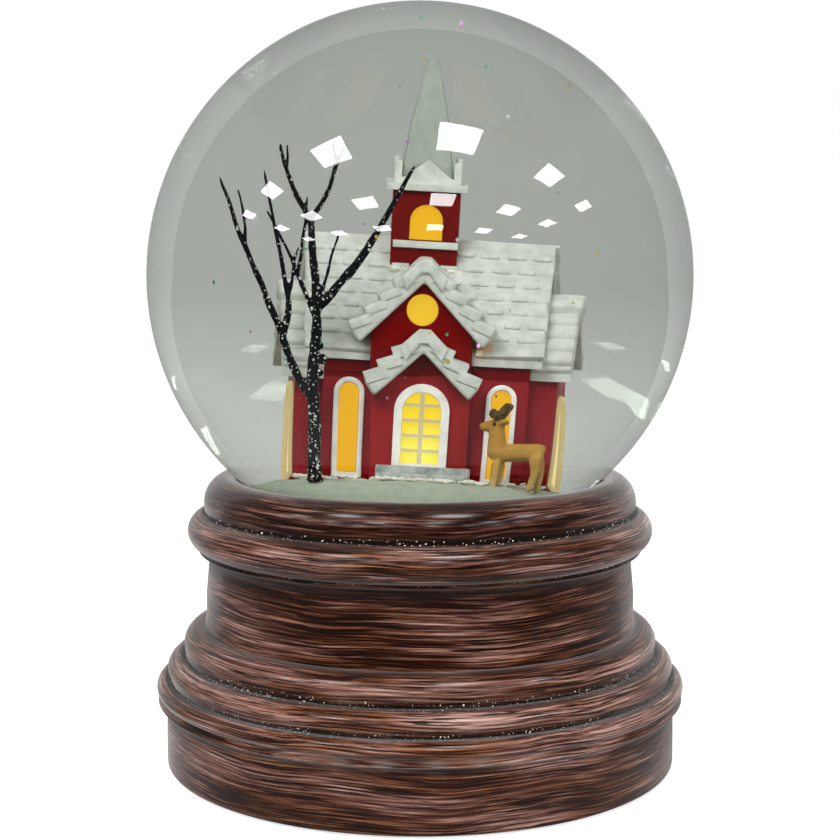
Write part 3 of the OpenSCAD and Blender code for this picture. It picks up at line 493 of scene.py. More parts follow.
SNOW_DARK, SNOW_LIGHT = (0.57, 0.585, 0.545), (0.72, 0.735, 0.69)
PLAIN_RED, DEEP_RED = (0.33, 0.017, 0.024), (0.18, 0.0006, 0.0006)
LOOKS = {
    "glass": make_glass("globe_glass", GLASS_INDEX),
    "inner_glass": make_glass("globe_inner_glass", 1.125),      # glass to water
    "wood": make_wood(),
    "snow": make_resin_white("ground_snow", (0.41, 0.455, 0.375), (0.47, 0.52, 0.425), 0.6),
    "crumbs": make_resin_white("loose_snow", (0.74, 0.72, 0.62), (0.95, 0.93, 0.85), 0.6),
    "roof": make_resin_white("roof_snow", SNOW_DARK, SNOW_LIGHT),
    # the spire's white paint is made grey as painted shade
    "spire": make_resin_white("spire_painted_shade", (0.37, 0.4, 0.36), (0.44, 0.47, 0.425)),
    "step": make_resin_white("step_snow", (0.28, 0.3, 0.29), (0.54, 0.57, 0.55), 0.55),
    # the trim's faint glow is painted light
    "white_paint": make_resin_white("trim_white", (0.8, 0.76, 0.72), (0.95, 0.92, 0.88), 0.4, 0.13),
    "red_paint": make_red("red_paint", PLAIN_RED, DEEP_RED, 2.3, FRIEZE_W),
    # the bay's deeper red above the frieze line is partly paint and partly painted shade under the porch roof
    "bay_red": make_red("bay_red_paint", (0.37, 0.0165, 0.018), DEEP_RED, -1, FRIEZE_W),
    "dark_red": make_red("deep_red_paint", DEEP_RED, DEEP_RED, 0, 0),
    "belfry_red": make_red("belfry_red_paint", (0.18, 0.0063, 0.0047), DEEP_RED, 0, 90),
    "amber_pane": make_glow("amber_glow", (0.98, 0.5, 0.018), (1.0, 0.62, 0.04), (0, -20, 130), 30, 1.12,
                            (1.0, 0.85, 0.42)),
    "door_pane": make_glow("door_glow", (0.95, 0.68, 0.03), (1.0, 0.93, 0.16), (0.5, -20, 97), 9, 1.35),
    "door_bars": make_glow("lit_bars", (0.82, 0.68, 0.36), (0.95, 0.86, 0.52), (0.5, -20, 97), 10, 0.82),
    "end_frames": make_glow("lit_end_frames", (0.8, 0.63, 0.3), (0.86, 0.7, 0.38), (0, -20, 105), 30, 0.85),
    "tree": make_bark(),
    "deer": make_hide(),
    "antlers": mottled("antler_brown", 0.4, (0.06, 0.035, 0.012), (0.2, 0.13, 0.05), 0.8, 0.15,
                       Specular_IOR_Level=IN_WATER),
    "eye": mottled("eye_black", 0.1, (0.004, 0.004, 0.004), (0.01, 0.01, 0.01), 1),
    "rubber": mottled("black_rubber", 0.7, (0.012, 0.012, 0.013), (0.025, 0.025, 0.026), 0.4, 0.03),
    "clear_plastic": mottled("frosted_window", 0.4, (0.5, 0.52, 0.5), (0.62, 0.64, 0.62), 0.2),
    "black_plastic": mottled("black_moulding", 0.5, (0.012, 0.012, 0.013), (0.022, 0.022, 0.023), 0.3,
                             0.04, 3),
    "grey_plastic": mottled("grey_moulding", 0.5, (0.16, 0.16, 0.17), (0.22, 0.22, 0.23), 0.3, 0.03, 3),
    "board": mottled("green_board", 0.35, (0.01, 0.09, 0.03), (0.02, 0.14, 0.05), 0.5, 0.02),
    "led": make_glow("lamp_glow", (1.0, 0.72, 0.3), (1.0, 0.9, 0.6), (0, 0, 60), 20, 2.0),
    "steel": mottled("bright_steel", 0.28, (0.45, 0.45, 0.46), (0.62, 0.62, 0.63), 0.6, 0.01, Metallic=1.0),
    "cell": mottled("cell_sleeve", 0.3, (0.02, 0.05, 0.03), (0.04, 0.08, 0.05), 0.3),
    "wire": mottled("wire_red", 0.4, (0.4, 0.02, 0.02), (0.5, 0.04, 0.03), 0.5),
}


# ---------- mesh helpers ----------
def finish_piece(name, mesh, look, replaced=(), smooth_angle=40):
    """Makes a mesh an object that rides on the root body, in the finish of a slot."""
    made = linked(name, mesh)
    if not mesh.materials:
        mesh.materials.append(LOOKS[look])
    for face in mesh.polygons:
        face.use_smooth = True
    if smooth_angle:
        mesh.set_sharp_from_angle(angle=radians(smooth_angle))
    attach(made, "root")
    if replaced:
        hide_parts(*replaced)
    return made


def mesh_of(work, name, scale=1.0):
    bmesh.ops.scale(work, vec=(scale, scale, scale), verts=work.verts)
    mesh = bpy.data.meshes.new(name)
    work.to_mesh(mesh)
    work.free()
    return mesh


def new_mesh(name, points, faces):
    """A mesh from points in millimetres, with its faces turned outwards."""
    mesh = bpy.data.meshes.new(name)
    mesh.from_pydata([Vector(p) * MM for p in points], [], faces)
    work = bmesh.new()
    work.from_mesh(mesh)
    bmesh.ops.recalc_face_normals(work, faces=work.faces)
    work.to_mesh(mesh)
    work.free()
    return mesh


def baked(source, *modifiers):
    """A copy of an object's mesh with modifiers applied. Each is (type, {setting: value})."""
    temp = linked("temp", source.copy())
    for kind, settings in modifiers:
        modifier = temp.modifiers.new(kind.lower(), kind)
        for key, value in settings.items():
            setattr(modifier, key, value)
    bpy.context.view_layer.update()
    mesh = bpy.data.meshes.new_from_object(temp.evaluated_get(bpy.context.evaluated_depsgraph_get()))
    bpy.data.objects.remove(temp)
    mesh.materials.clear()
    return mesh


def bevel(radius, segments, **settings):
    return "BEVEL", {"width": radius * MM, "segments": segments, "use_clamp_overlap": True, **settings}


def skin(voxel):
    return "REMESH", {"mode": "VOXEL", "voxel_size": voxel * MM}


def smooth(factor, rounds):
    return "SMOOTH", {"factor": factor, "iterations": rounds}


def cad_mesh(node, apart=None):
    """A cleaned copy of a CAD node's mesh, with flat faces whole but for those that a test sets apart."""
    work = bmesh.new()
    work.from_mesh(frame["nodes"][node].data)
    bmesh.ops.remove_doubles(work, verts=work.verts, dist=0.004 * MM)
    for face in work.faces:
        face.material_index = int(bool(apart) and all(apart(local(v.co)) for v in face.verts))
    bmesh.ops.dissolve_limit(work, angle_limit=radians(1), verts=work.verts, edges=work.edges,
                             delimit={"MATERIAL"})
    return mesh_of(work, node)


def soften(node, name, radius, look=None, segments=2, apart=None, other=None):
    """A piece in a CAD node's place with rounded edges, as on cast resin, and another look on some faces."""
    rounded = bevel(radius, segments, limit_method="ANGLE", angle_limit=radians(30))
    slot = slot_of[node]
    made = finish_piece(name, baked(cad_mesh(node, apart), rounded), look or slot, (node,), 35)
    if apart:
        mesh = made.data
        mesh.materials.append(LOOKS[other])
        for face in mesh.polygons:
            face.material_index = int(all(apart(local(mesh.vertices[i].co)) for i in face.vertices))
    return made


def quads(first, count, around, wrap=0):
    """Faces that join each ring of points to the next. With wrap rings, the last one joins the first."""
    return [(first + i * around + k, first + j * around + k, first + j * around + q, first + i * around + q)
            for i in range(count) for j in [(i + 1) % wrap if wrap else i + 1]
            for k in range(around) for q in [(k + 1) % around]]


def turned(outline, segments, start=0):
    """Points and faces of a closed [r, z] outline turned about the Z axis."""
    points = [(r * cos(2 * pi * k / segments), r * sin(2 * pi * k / segments), z)
              for r, z in outline for k in range(segments)]
    return points, quads(start, len(outline), segments, len(outline))


def polar(r, angle, z=0.0):
    return Vector((r * cos(angle), r * sin(angle), z))


def arc(cx, cz, rx, rz, a0, a1, n=12):
    """Points of an elliptical arc about (cx, cz), from angle a0 to a1 in degrees."""
    angles = [radians(a0 + (a1 - a0) * i / n) for i in range(n + 1)]
    return [(cx + rx * cos(a), cz + rz * sin(a)) for a in angles]


def axes_of(along, down, up):
    return Matrix((along, down, up)).transposed().to_4x4()


class Blocks:
    """Gathers small uneven blocks in the chapel and rounds their edges together."""

    def __init__(self, seed):
        self.work = bmesh.new()
        self.draw = random.Random(seed)

    def add(self, at, size, uneven, *turns):
        """One block about a place in the chapel, turned by some matrices."""
        matrix = in_chapel @ Matrix.Translation(at)
        for turn in turns:
            matrix = matrix @ turn
        made = bmesh.ops.create_cube(self.work, size=1, matrix=matrix @ Matrix.Diagonal((*size, 1)))
        for vert in made["verts"]:
            vert.co += Vector([self.draw.uniform(-uneven, uneven) for _ in range(3)])

    def piece(self, name, radius, segments, look="roof"):
        mesh = baked(mesh_of(self.work, name, MM), bevel(radius, segments))
        return finish_piece(name, mesh, look, (), 50)


# ---------- the glass ball ----------
def make_globe():
    """The glass shell: outer faces meet the air, inner faces meet the water."""
    cap, segments = 0.4, 192
    outside = arc(0, GLOBE_Z, GLOBE_R, GLOBE_R, 90, -53, 110)
    shoulder = [(NECK_OUT, outside[-1][1] - 1.5), (NECK_OUT, NECK_BOTTOM)]
    inside = [(NECK_R, NECK_BOTTOM)] + arc(0, GLOBE_Z, GLASS_IN, GLASS_IN, -54.54, 90, 108)
    outside[0] = (cap, outside[0][1])
    inside[-1] = (cap, inside[-1][1])
    rings = outside + shoulder + inside
    points, faces = turned(rings, segments)
    faces = faces[:(len(rings) - 1) * segments]
    top, under = len(points), len(points) + 1
    points += [(0, 0, GLOBE_Z + GLOBE_R), (0, 0, GLOBE_Z + GLASS_IN)]
    last = (len(rings) - 1) * segments
    faces += [(top, k, (k + 1) % segments) for k in range(segments)]
    faces += [(under, last + (k + 1) % segments, last + k) for k in range(segments)]
    mesh = new_mesh("glass", points, faces)
    for look in ("glass", "inner_glass"):
        mesh.materials.append(LOOKS[look])
    middle = (GLOBE_R + GLASS_IN) / 2 * MM
    for face in mesh.polygons:
        if (face.center - ball_centre).length < middle and face.normal.dot(face.center - ball_centre) < 0:
            face.material_index = 1
    return finish_piece("globe_glass", mesh, "glass", ("glass_globe",), 30)


# ---------- the turned base ----------
def base_outline():
    """The source's turned outline, drawn with finer arcs, from the mouth down to the foot."""
    return (
        arc(MOUTH_R + 2.6, RING_Z, 6.1, 7, 105, -18, 40)
        + arc(BEAD_R - 5.5, BEAD_Z, 5.5, 5.1, 80, -66, 40)
        + arc(WAIST_R + 2.5, BEAD_Z - 9.4, 2.8, 3.8, 92, 178, 12)
        + [(WAIST_R + 0.5, 48), (WAIST_R + 0.5, 43)]
        + arc(WAIST_R + 1.3, RIM_Z + 12.2, STEP_HIGH_R - WAIST_R - 1.3, 4.6, 92, 0, 24)
        + arc(STEP_HIGH_R - 0.3, RIM_Z + 5.4, STEP_LOW_R - STEP_HIGH_R + 0.3, 3.4, 92, -8, 24)
        + [(RIM_R - 4, RIM_Z + 2.4)]
        + arc(RIM_R - 2.5, RIM_Z, 2.5, 2.4, 100, -52, 28)
        + arc(BAND_R + 2.9, BAND_TOP, 3, 3.4, 102, 178, 14)
        + [(BAND_R, 8)]
        + arc(BAND_R - 0.9, FOOT_GAP + 0.9, 0.9, 0.9, 0, -90, 6)
    )


def make_base():
    plate_hole, plate_top, hollow, upper_hollow = 66.2, 4, 60, 53
    web_low, web_high, bore = NECK_BOTTOM + 4, NECK_BOTTOM + 14, NECK_OUT + 2.1
    outer = [(MOUTH_R, MOUTH_Z)] + base_outline()
    inner = [(plate_hole, FOOT_GAP), (plate_hole, plate_top), (hollow, plate_top), (hollow, RIM_Z + 5),
             (upper_hollow, RIM_Z + 11), (upper_hollow, web_low), (bore, web_low), (bore, web_high),
             (MOUTH_R, web_high)]
    segments = 256
    points, faces = turned(outer + inner, segments)
    hollows = [hollow_depth(outer, i) for i in range(len(outer))] + [0] * len(inner)
    boss_rings = ((4, 56, 0, 4.2, plate_top, 18), (3, 49.8, 90, 3.3, NECK_BOTTOM - 2.2, web_low + 1))
    for count, ring_r, first, boss_r, low, high in boss_rings:
        for i in range(count):
            angle = radians(first + 360 * i / count)
            rod, sides = turned([(0.01, low), (boss_r, low), (boss_r, high), (0.01, high)], 24, len(points))
            points += [(x + ring_r * cos(angle), y + ring_r * sin(angle), z) for x, y, z in rod]
            faces += sides
    mesh = new_mesh("base", points, faces)
    groove = mesh.attributes.new("groove", "FLOAT", "POINT")
    values = [h for h in hollows for _ in range(segments)]
    values += [0] * (len(mesh.vertices) - len(values))
    groove.data.foreach_set("value", values)
    return finish_piece("base_turning", mesh, "wood", ("base_casing",), 50)


def hollow_depth(outline, i):
    """How deep a point of the outline sits in a groove, from 0 to 1: the wood is painted near black there as
    painted shade.
    """
    at = Vector(outline[i])
    deepest = 0.0
    for reach in (2, 4, 7):
        a = Vector(outline[max(i - reach, 0)])
        b = Vector(outline[min(i + reach, len(outline) - 1)])
        span = (b - a).length
        if 0.2 < span < 6:
            sag = (at - a).cross(b - a) / span
            deepest = max(deepest, sag / span)
    return max(0.0, min(1.0, (deepest - 0.11) * 6))


# ---------- the chapel ----------
def local(point):
    """A place in metres as [u, v, w] in the chapel."""
    return in_chapel.inverted() @ (point / MM)


def slope_axes(side):
    """Directions down and out of one slope of a roof at 45 degrees, and both with the ridge's as axes."""
    down, up = Vector((0, side * SIN_45, -SIN_45)), Vector((0, side * SIN_45, SIN_45))
    return down, up, axes_of(Vector((1, 0, 0)), down, up)


def make_nave_shingles():
    """Smooth courses of snow, each with short raised tabs along its lower edge, and a lip at the eave."""
    blocks = Blocks(11)
    draw = blocks.draw
    run = (NAVE_MID + EAVE_OUT) / SIN_45
    row_run = run / NAVE_ROWS
    start = -NAVE_HALF - NAVE_OVER[0]
    length = 2 * NAVE_HALF + NAVE_OVER[0] + NAVE_OVER[1]
    tilt = Matrix.Rotation(atan(0.045), 4, "X")
    course_t, tab, eave_bar, ridge_block = 0.9, (1.2, 0.9), (3.6, 1.6), (2.4, 0.8)

    def on_ridge(u):
        return Vector((u, NAVE_MID, RIDGE_W))

    for side in (-1, 1):
        down, up, axes = slope_axes(side)
        over = 0.1 if side < 0 else 0.9
        for row in range(NAVE_ROWS):
            low = (row + 1) * row_run
            ends = start - over + draw.uniform(-0.3, 0.5), start + length + over + draw.uniform(-0.5, 0.3)
            fall = low * SIN_45
            parts = entrance_gap(ends, NAVE_MID - fall, RIDGE_W - fall) if side < 0 else [ends]
            for u0, u1 in parts:
                at = on_ridge((u0 + u1) / 2) + down * (low - row_run / 2) + up * 0.1
                blocks.add(at, (u1 - u0, row_run + 1.1, course_t), 0.1, axes, tilt)
            u = start + draw.uniform(0.2, 3.2)
            while u < start + length - 3.4:
                wide = draw.uniform(3.2, 4.1)
                at = on_ridge(u + wide / 2) + down * (low + 0.1) + up * 0.7
                if side > 0 or (clear_of_entrance(at) and row < NAVE_ROWS - 1):
                    blocks.add(at, (wide, *tab), 0.12, axes, tilt)
                u += wide + draw.uniform(1.2, 1.9)
        ends = start - over, start + length + over
        parts = entrance_gap(ends, -EAVE_OUT, RIDGE_W - NAVE_MID - EAVE_OUT) if side < 0 else [ends]
        for u0, u1 in parts:
            at = on_ridge((u0 + u1) / 2) + down * (run - 0.9) - up * 0.3
            blocks.add(at, (u1 - u0, *eave_bar), 0.25, axes)
    count = round(length / RIDGE_STEP)
    for i in range(count):
        at = on_ridge(start + (i + 0.5) * length / count)
        if abs(at.x - TOWER_U) < TOWER_CLEAR:
            continue
        for side in (-1, 1):
            turn = Matrix.Rotation(side * pi / 4, 4, "X")
            aside = Matrix.Translation((0, -side * 0.9, 0.1))
            blocks.add(at, (length / count + 0.1, *ridge_block), 0.05, turn, aside)
    return blocks.piece("nave_shingles", 0.34, 3)


def entrance_gap(ends, v, w):
    """A course's two stretches beside the entrance gable or the tower, at depth v and height w."""
    half = 0.0
    if v < NAVE_MID - 6 and w < GABLE_TOP_W - 2:
        half = min((GABLE_TOP_W - 2.5 - w) / GABLE_SLOPE, GABLE_RUN - 2.5)
    if abs(v - TOWER_V) < 8.5:
        half = max(half, 4.7)
    if half <= 0:
        return [ends]
    inner = BAY_HALF + 0.2
    return [(ends[0], max(GABLE_U - half, BAY_U - inner)), (min(GABLE_U + half, BAY_U + inner), ends[1])]


def clear_of_entrance(at):
    """Whether a place on the nave roof lies outside the entrance gable and the tower."""
    under_gable = at.z < GABLE_TOP_W - 2 - GABLE_SLOPE * abs(at.x - GABLE_U)
    in_tower = abs(at.x - TOWER_U) < TOWER_CLEAR and abs(at.y - TOWER_V) < TOWER_CLEAR
    return not (at.y < NAVE_MID and under_gable) and not in_tower


def make_wing_shingles():
    """Chunky rounded stones of snow on the wings. The rear ones hang lower and stand out at the verge."""
    blocks = Blocks(12)
    draw = blocks.draw
    rows, first_t, stone_t, eave_bar = 5, 3.4, 2.4, (3.4, 2.9)
    tilt = Matrix.Rotation(0.27, 4, "X")
    length = WING_HALF - NAVE_HALF + WING_OVER
    for i, (front_eave, rear_eave) in enumerate(WING_EAVES):
        front = WING_RIDGE_V - WING_BACK + front_eave
        rear = WING_BACK + WING_DEPTH - WING_RIDGE_V + rear_eave
        start = -WING_HALF - WING_OVER if i == 0 else NAVE_HALF
        for side, run in ((-1, front), (1, rear)):
            down, up, axes = slope_axes(side)
            row_run = run / SIN_45 / rows
            drop = 0 if side < 0 else -0.6
            for row in range(rows):
                first = row == 0
                out = draw.uniform(-0.2, 0.35) + 0.5 * first
                left = start - (out if i == 0 else 0)
                right = start + length + (out if i == 1 else 0)
                at = Vector(((left + right) / 2, WING_RIDGE_V, WING_RIDGE_W))
                at += down * ((row + 0.5) * row_run + 0.5 * first) + up * (0.75 if first else 0.35 + drop)
                size = (right - left, row_run + (0.9 if first else 0.4), first_t if first else stone_t)
                blocks.add(at, size, 0.16, axes, tilt)
            ridge = Vector((start + length / 2, WING_RIDGE_V, WING_RIDGE_W))
            blocks.add(ridge + down * (run / SIN_45 - 0.8) - up * 0.9, (length + 0.3, *eave_bar), 0.15, axes)
    return blocks.piece("wing_shingles", 0.8, 4)


def add_cap(blocks, middle, top, slope, v0, v1):
    """A bar of snow bent over a ridge, with a rounded top."""
    end, bend, thick, lean = 5.2, 1.2, 3.0, 0.25
    verts = []
    for v in (v0, v1):
        outer = [Vector((middle + u, v, top - slope * (abs(u) - bend))) for u in (-end, -bend, bend, end)]
        verts += outer + [at - Vector((lean * (at.x - middle), 0, thick)) for at in reversed(outer)]
    made = [blocks.work.verts.new(in_chapel @ at) for at in verts]
    blocks.work.faces.new(made[:8])
    blocks.work.faces.new(made[:7:-1])
    for k in range(8):
        after = (k + 1) % 8
        blocks.work.faces.new((made[after], made[k], made[8 + k], made[8 + after]))


def make_gable_blocks(name, seed, middle, top, slope, run, v0, v1, rows, thick, hidden):
    """Chunky blocks down both slopes of a small gable, and a bent cap along its ridge."""
    blocks = Blocks(seed)
    draw = blocks.draw
    tall = hypot(1, slope)
    along, length, down_run = Vector((0, 1, 0)), v1 - v0, run * tall - 0.6
    row_run = down_run / rows
    tilt = atan(thick / row_run * 0.75)
    cap_long, pitch, under_cap = 5.0, 5.2, 3.4
    for side in (-1, 1):
        down = Vector((side / tall, 0, -slope / tall))
        up = Vector((side * slope / tall, 0, 1 / tall))
        axes = axes_of(along, down, up)
        corner = Vector((middle, v0, top)) - up * 0.75
        for row in range(rows):
            draw.random()           # not used, but the draws after it count on it
            cuts = [0.0]
            while cuts[-1] < length - 0.9 * pitch:
                cuts.append(cuts[-1] + pitch * draw.uniform(0.85, 1.15))
            cuts.append(length + draw.uniform(-0.45, 0.35))
            for a, b in zip(cuts, cuts[1:]):
                size = (b - a + 0.05, row_run + 0.9, thick * draw.uniform(0.9, 1.1))
                low = down_run - (row + 0.5) * row_run - 0.1 + draw.uniform(-0.2, 0.2)
                at = corner + along * ((a + b) / 2) + down * low + up * (thick * 0.12)
                if hidden(at) or top - at.z <= under_cap:
                    continue
                turn = Matrix.Rotation(tilt + draw.uniform(-0.02, 0.02), 4, "X")
                spin = Matrix.Rotation(draw.uniform(-0.012, 0.012), 4, "Z")
                blocks.add(at, size, 0.05, axes, turn, spin)
    for i in range(int(length / cap_long)):
        front = v0 - 0.5 + i * cap_long
        if not hidden(Vector((middle, front + cap_long / 2, top))):
            add_cap(blocks, middle, top - 0.1, slope, front, front + cap_long + 0.1)
    return blocks.piece(name, 0.7, 4)


def make_entrance_blocks():
    make_gable_blocks("gable_blocks", 21, GABLE_U, GABLE_TOP_W, GABLE_SLOPE, GABLE_RUN,
                      -BAY_OUT - VERGE_OUT - 0.4, NAVE_MID, 5, 2.45,
                      lambda at: at.z < at.y + RIDGE_W - NAVE_MID - 0.5)
    make_gable_blocks("porch_blocks", 22, PORCH_U, PORCH_TOP_W, PORCH_SLOPE, PORCH_RUN,
                      -BAY_OUT - PORCH_OUT - 0.4, -BAY_OUT + 0.2, 4, 2.5, lambda at: False)


def in_door(at):
    """Where the glazing bars are, lit by the pane behind them."""
    above = max(0, at.z - DOOR_TOP_W + DOOR_HALF)
    return hypot(at.x - BAY_U, above) < DOOR_HALF + 0.1


def in_end_window(at):
    """Where the sides of the openings in the end walls are."""
    middle = WING_BACK + WING_DEPTH / 2
    return abs(at.x) > WING_HALF - 2.1 and abs(at.y - middle) < 7.15 and 2 < at.z < 21.4


def make_trim():
    """Darker frieze and foot boards of the nave, on both sides of the entrance."""
    blocks = Blocks(31)
    t = 0.35
    for low, high in ((FRIEZE_W, NAVE_WALL_W + 0.4), (-1.4, 2.3)):
        for u0, u1 in ((-NAVE_HALF - 0.1, BAY_U - BAY_HALF + 0.1), (BAY_U + BAY_HALF - 0.1, NAVE_HALF + 0.1)):
            blocks.add(((u0 + u1) / 2, -t / 2 + 0.05, (low + high) / 2), (u1 - u0, t, high - low), 0.03)
    return blocks.piece("wall_boards", 0.12, 2, "dark_red")


# ---------- snow, tree, deer ----------
def snow_height(r, angle):
    """Height of the snow over the leaning ground plane."""
    if r <= SNOW_FLAT_R:
        fall = 0.0
    else:
        part = min(1.0, (r - SNOW_FLAT_R) / (SNOW_EDGE_R - SNOW_FLAT_R))
        fall = SNOW_FALL * (sqrt(1 - part * part) - 1)
    at = polar(r, angle)
    rough = 0.55 * noise.fractal(at * 0.14, 0.8, 2.1, 4) + 0.18 * noise.noise(at * 0.9)
    return fall + rough - 0.15


def make_snow():
    rings, segments = 70, 180
    radii = [SNOW_EDGE_R * i / rings for i in range(1, rings + 1)]
    angles = [2 * pi * k / segments for k in range(segments)]
    bottom = STOPPER_TOP + 0.02
    points = [in_ground @ Vector((0, 0, 0))]
    points += [in_ground @ polar(r, a, snow_height(r, a)) for r in radii for a in angles]
    points += [polar(SNOW_EDGE_R, a, bottom) for a in angles] + [Vector((0, 0, bottom))]
    faces = [(0, 1 + k, 1 + (k + 1) % segments) for k in range(segments)]
    faces += quads(1, rings, segments)
    last, edge = len(points) - 1, 1 + rings * segments
    faces += [(last, edge + (k + 1) % segments, edge + k) for k in range(segments)]
    return finish_piece("snow_field", new_mesh("snow", points, faces), "snow", ("snow_ground",), 60)


TOWER_FRONT_V = NAVE_MID + 0.9 - 6.95
ON_ROOF_W = RIDGE_W - NAVE_MID + TOWER_FRONT_V
# u, v, u, v of the ends of each line of lumps, the height it lies at and how many lie in a millimetre
CRUMB_LINES = (
    (-WING_HALF, WING_BACK, -NAVE_HALF, 0, 0, 2.2),
    (-NAVE_HALF, -0.4, BAY_U - BAY_HALF, -0.4, 0, 2.6),
    (BAY_U - BAY_HALF, -3.9, STEP_U - 11, -3.9, 0, 3),
    (BAY_U + BAY_HALF, -0.4, NAVE_HALF, -0.4, 0, 2.6),
    (NAVE_HALF, 1, WING_HALF, WING_BACK, 0, 3),
    (STEP_U - 11, STEP_FRONT_V + 3, STEP_U - 11, -4, 0, 2.5),
    (STEP_U - 11, STEP_FRONT_V - 0.4, STEP_U + 11, STEP_FRONT_V - 0.4, 0, 1.8),
    (STEP_U + 11.2, STEP_FRONT_V, STEP_U + 11.2, -1, 0, 3),
    (STEP_U + 11.5, -8, STEP_U + 14.5, -5, 0, 4),
    (STEP_U - 10, STEP_FRONT_V - 1, STEP_U + 10, STEP_FRONT_V - 1, 0, 1.5),
    (12, -9.5, 24, -7, -0.3, 1.5),
    (-24, -8.5, -13, -10, -0.2, 1),
    (-9.6, TOWER_FRONT_V - 0.2, -4.6, TOWER_FRONT_V - 0.2, ON_ROOF_W, 1.6),
    (0.4, TOWER_FRONT_V - 0.2, 5.4, TOWER_FRONT_V - 0.2, ON_ROOF_W, 1.6),
)


def make_crumbs():
    """Lumps of snow against the walls, round the step and at the tower's foot."""
    draw = random.Random(41)
    work = bmesh.new()
    for u0, v0, u1, v1, height, often in CRUMB_LINES:
        for _ in range(int(hypot(u1 - u0, v1 - v0) * often)):
            t = draw.random()
            size = draw.uniform(0.32, 0.85)
            at = Vector((u0 + (u1 - u0) * t + draw.uniform(-0.3, 0.3),
                         v0 + (v1 - v0) * t - abs(draw.gauss(0, 0.6)), height + size * 0.3 - 0.1))
            made = bmesh.ops.create_icosphere(work, subdivisions=2, radius=size)
            stretch = Vector((draw.uniform(0.8, 1.5), draw.uniform(0.8, 1.2), draw.uniform(0.6, 0.95)))
            for vert in made["verts"]:
                lump = 1 + 0.45 * noise.noise(vert.co * 2.6 + at)
                vert.co = in_chapel @ (at + Vector([c * s * lump for c, s in zip(vert.co, stretch)]))
    return finish_piece("snow_crumbs", mesh_of(work, "crumbs", MM), "crumbs")


TREE_FOOT = Vector((-24.3, -27, GROUND_Z + 0.3))
# parent (-1 is the foot), place along it, end x, height above the foot, sideways bow, depth, start r, end r
BRANCHES = (
    (-1, 0, -23.8, 22, 0.2, 0, 1.7, 1.4), (0, 0.97, -22.5, 40, 0, 0, 1.35, 1.1),
    (1, 0.97, -23.7, 59.5, -0.2, 0, 1.1, 0.75), (2, 0.94, -31.4, 76.2, -1.1, -3, 0.7, 0.4),
    (3, 0.65, -29.7, 75.5, 0.3, 0, 0.4, 0.3), (2, 0.97, -19.2, 75.5, 2.2, 2, 0.65, 0.4),
    (5, 0.45, -16.2, 75, -0.2, 2, 0.4, 0.3), (0, 0.86, -31, 35, -1, -1, 1.1, 0.9),
    (7, 0.97, -46.7, 69.8, 0.2, -4, 0.9, 0.4), (8, 0.52, -41.4, 66.2, 0.6, -1, 0.45, 0.3),
    (7, 0.85, -29, 41.7, 0.7, 1, 0.9, 0.65), (10, 0.97, -34.7, 70, 0.3, 1, 0.6, 0.35),
    (10, 0.95, -26.4, 52.5, -0.2, 2, 0.5, 0.3), (1, 0.8, -34, 61, 0.8, 3, 0.65, 0.3),
    (13, 0.42, -24.5, 64, 0, 0, 0.45, 0.3), (1, 0.95, -11, 52.9, 0.5, -1, 1.15, 0.95),
    (15, 0.97, -0.9, 70.6, 0.2, -2, 0.9, 0.4), (1, 0.95, -17.4, 56.5, 0.2, 2, 0.5, 0.3),
)
KNOTS = ((-21.9, 31, 0.9), (-21.5, 28, 1.25), (-22, 25, 0.9))        # x, height above the foot, radius


def branch_point(i, t):
    parent, along, end_x, rise, bow, depth = BRANCHES[i][:6]
    s = TREE_FOOT if parent < 0 else branch_point(parent, along)
    return Vector((s.x + (end_x - s.x) * t + 4 * bow * t * (1 - t), s.y + depth * t * t,
                   s.z + (TREE_FOOT.z + rise - s.z) * t))


def swept(points, faces, path, radii, sides):
    """Adds a closed tube along a path to lists of points and faces."""
    first = len(points)
    for i, p in enumerate(path):
        ahead = (path[min(i + 1, len(path) - 1)] - path[max(i - 1, 0)]).normalized()
        a = ahead.cross(Vector((0.1, 1, 0.2))).normalized()
        b = ahead.cross(a)
        for k in range(sides):
            turn = 2 * pi * k / sides
            points.append(p + (a * cos(turn) + b * sin(turn)) * radii[i])
    faces += quads(first, len(path) - 1, sides)
    faces.append(tuple(first + k for k in range(sides)))
    faces.append(tuple(first + (len(path) - 1) * sides + k for k in reversed(range(sides))))


def make_tree():
    """Crooked, knobbly branches along the source's own branch lines."""
    points, faces = [], []
    steps, tip_from = 22, 0.92
    for i, branch in enumerate(BRANCHES):
        start_r, end_r = branch[6:]
        path, radii = [], []
        for k in range(steps + 1):
            t = k / steps
            at = branch_point(i, t)
            wander = 0.45 * min(1, 4 * t) * min(1, 6 * (1 - t))
            offset = Vector([noise.noise(at * 0.16 + Vector((i * 7.3, c * 31.7, 4))) for c in range(3)])
            path.append(at + offset * wander)
            tip = sqrt(max(0.03, 1 - max(0, (t - tip_from) / 0.08) ** 2))
            radii.append((start_r + (end_r - start_r) * t) * (1 + 0.22 * noise.noise(at * 0.6)) * tip)
        swept(points, faces, path, radii, 10)
    for side in range(6):
        angle = 2 * pi * side / 6 + 0.3
        out = polar(1, angle)
        root = [TREE_FOOT + Vector((0, 0, rise)) + out * reach
                for rise, reach in ((3, 0.4), (0.7, 0.9), (-1.4, 1.7))]
        swept(points, faces, root, (1.0, 0.85, 0.7), 8)
    for x, rise, r in KNOTS:
        middle = Vector((x, TREE_FOOT.y - 0.6, TREE_FOOT.z + rise))
        lump = [middle + Vector((0, 0, r * h)) for h in (-1, -0.75, 0, 0.75, 1)]
        swept(points, faces, lump, [r * k for k in (0.1, 0.66, 1, 0.66, 0.1)], 10)
    rough = baked(new_mesh("tree", points, faces), skin(0.3), smooth(0.4, 2))
    return finish_piece("bare_tree", rough, "tree", ("tree",), 0)


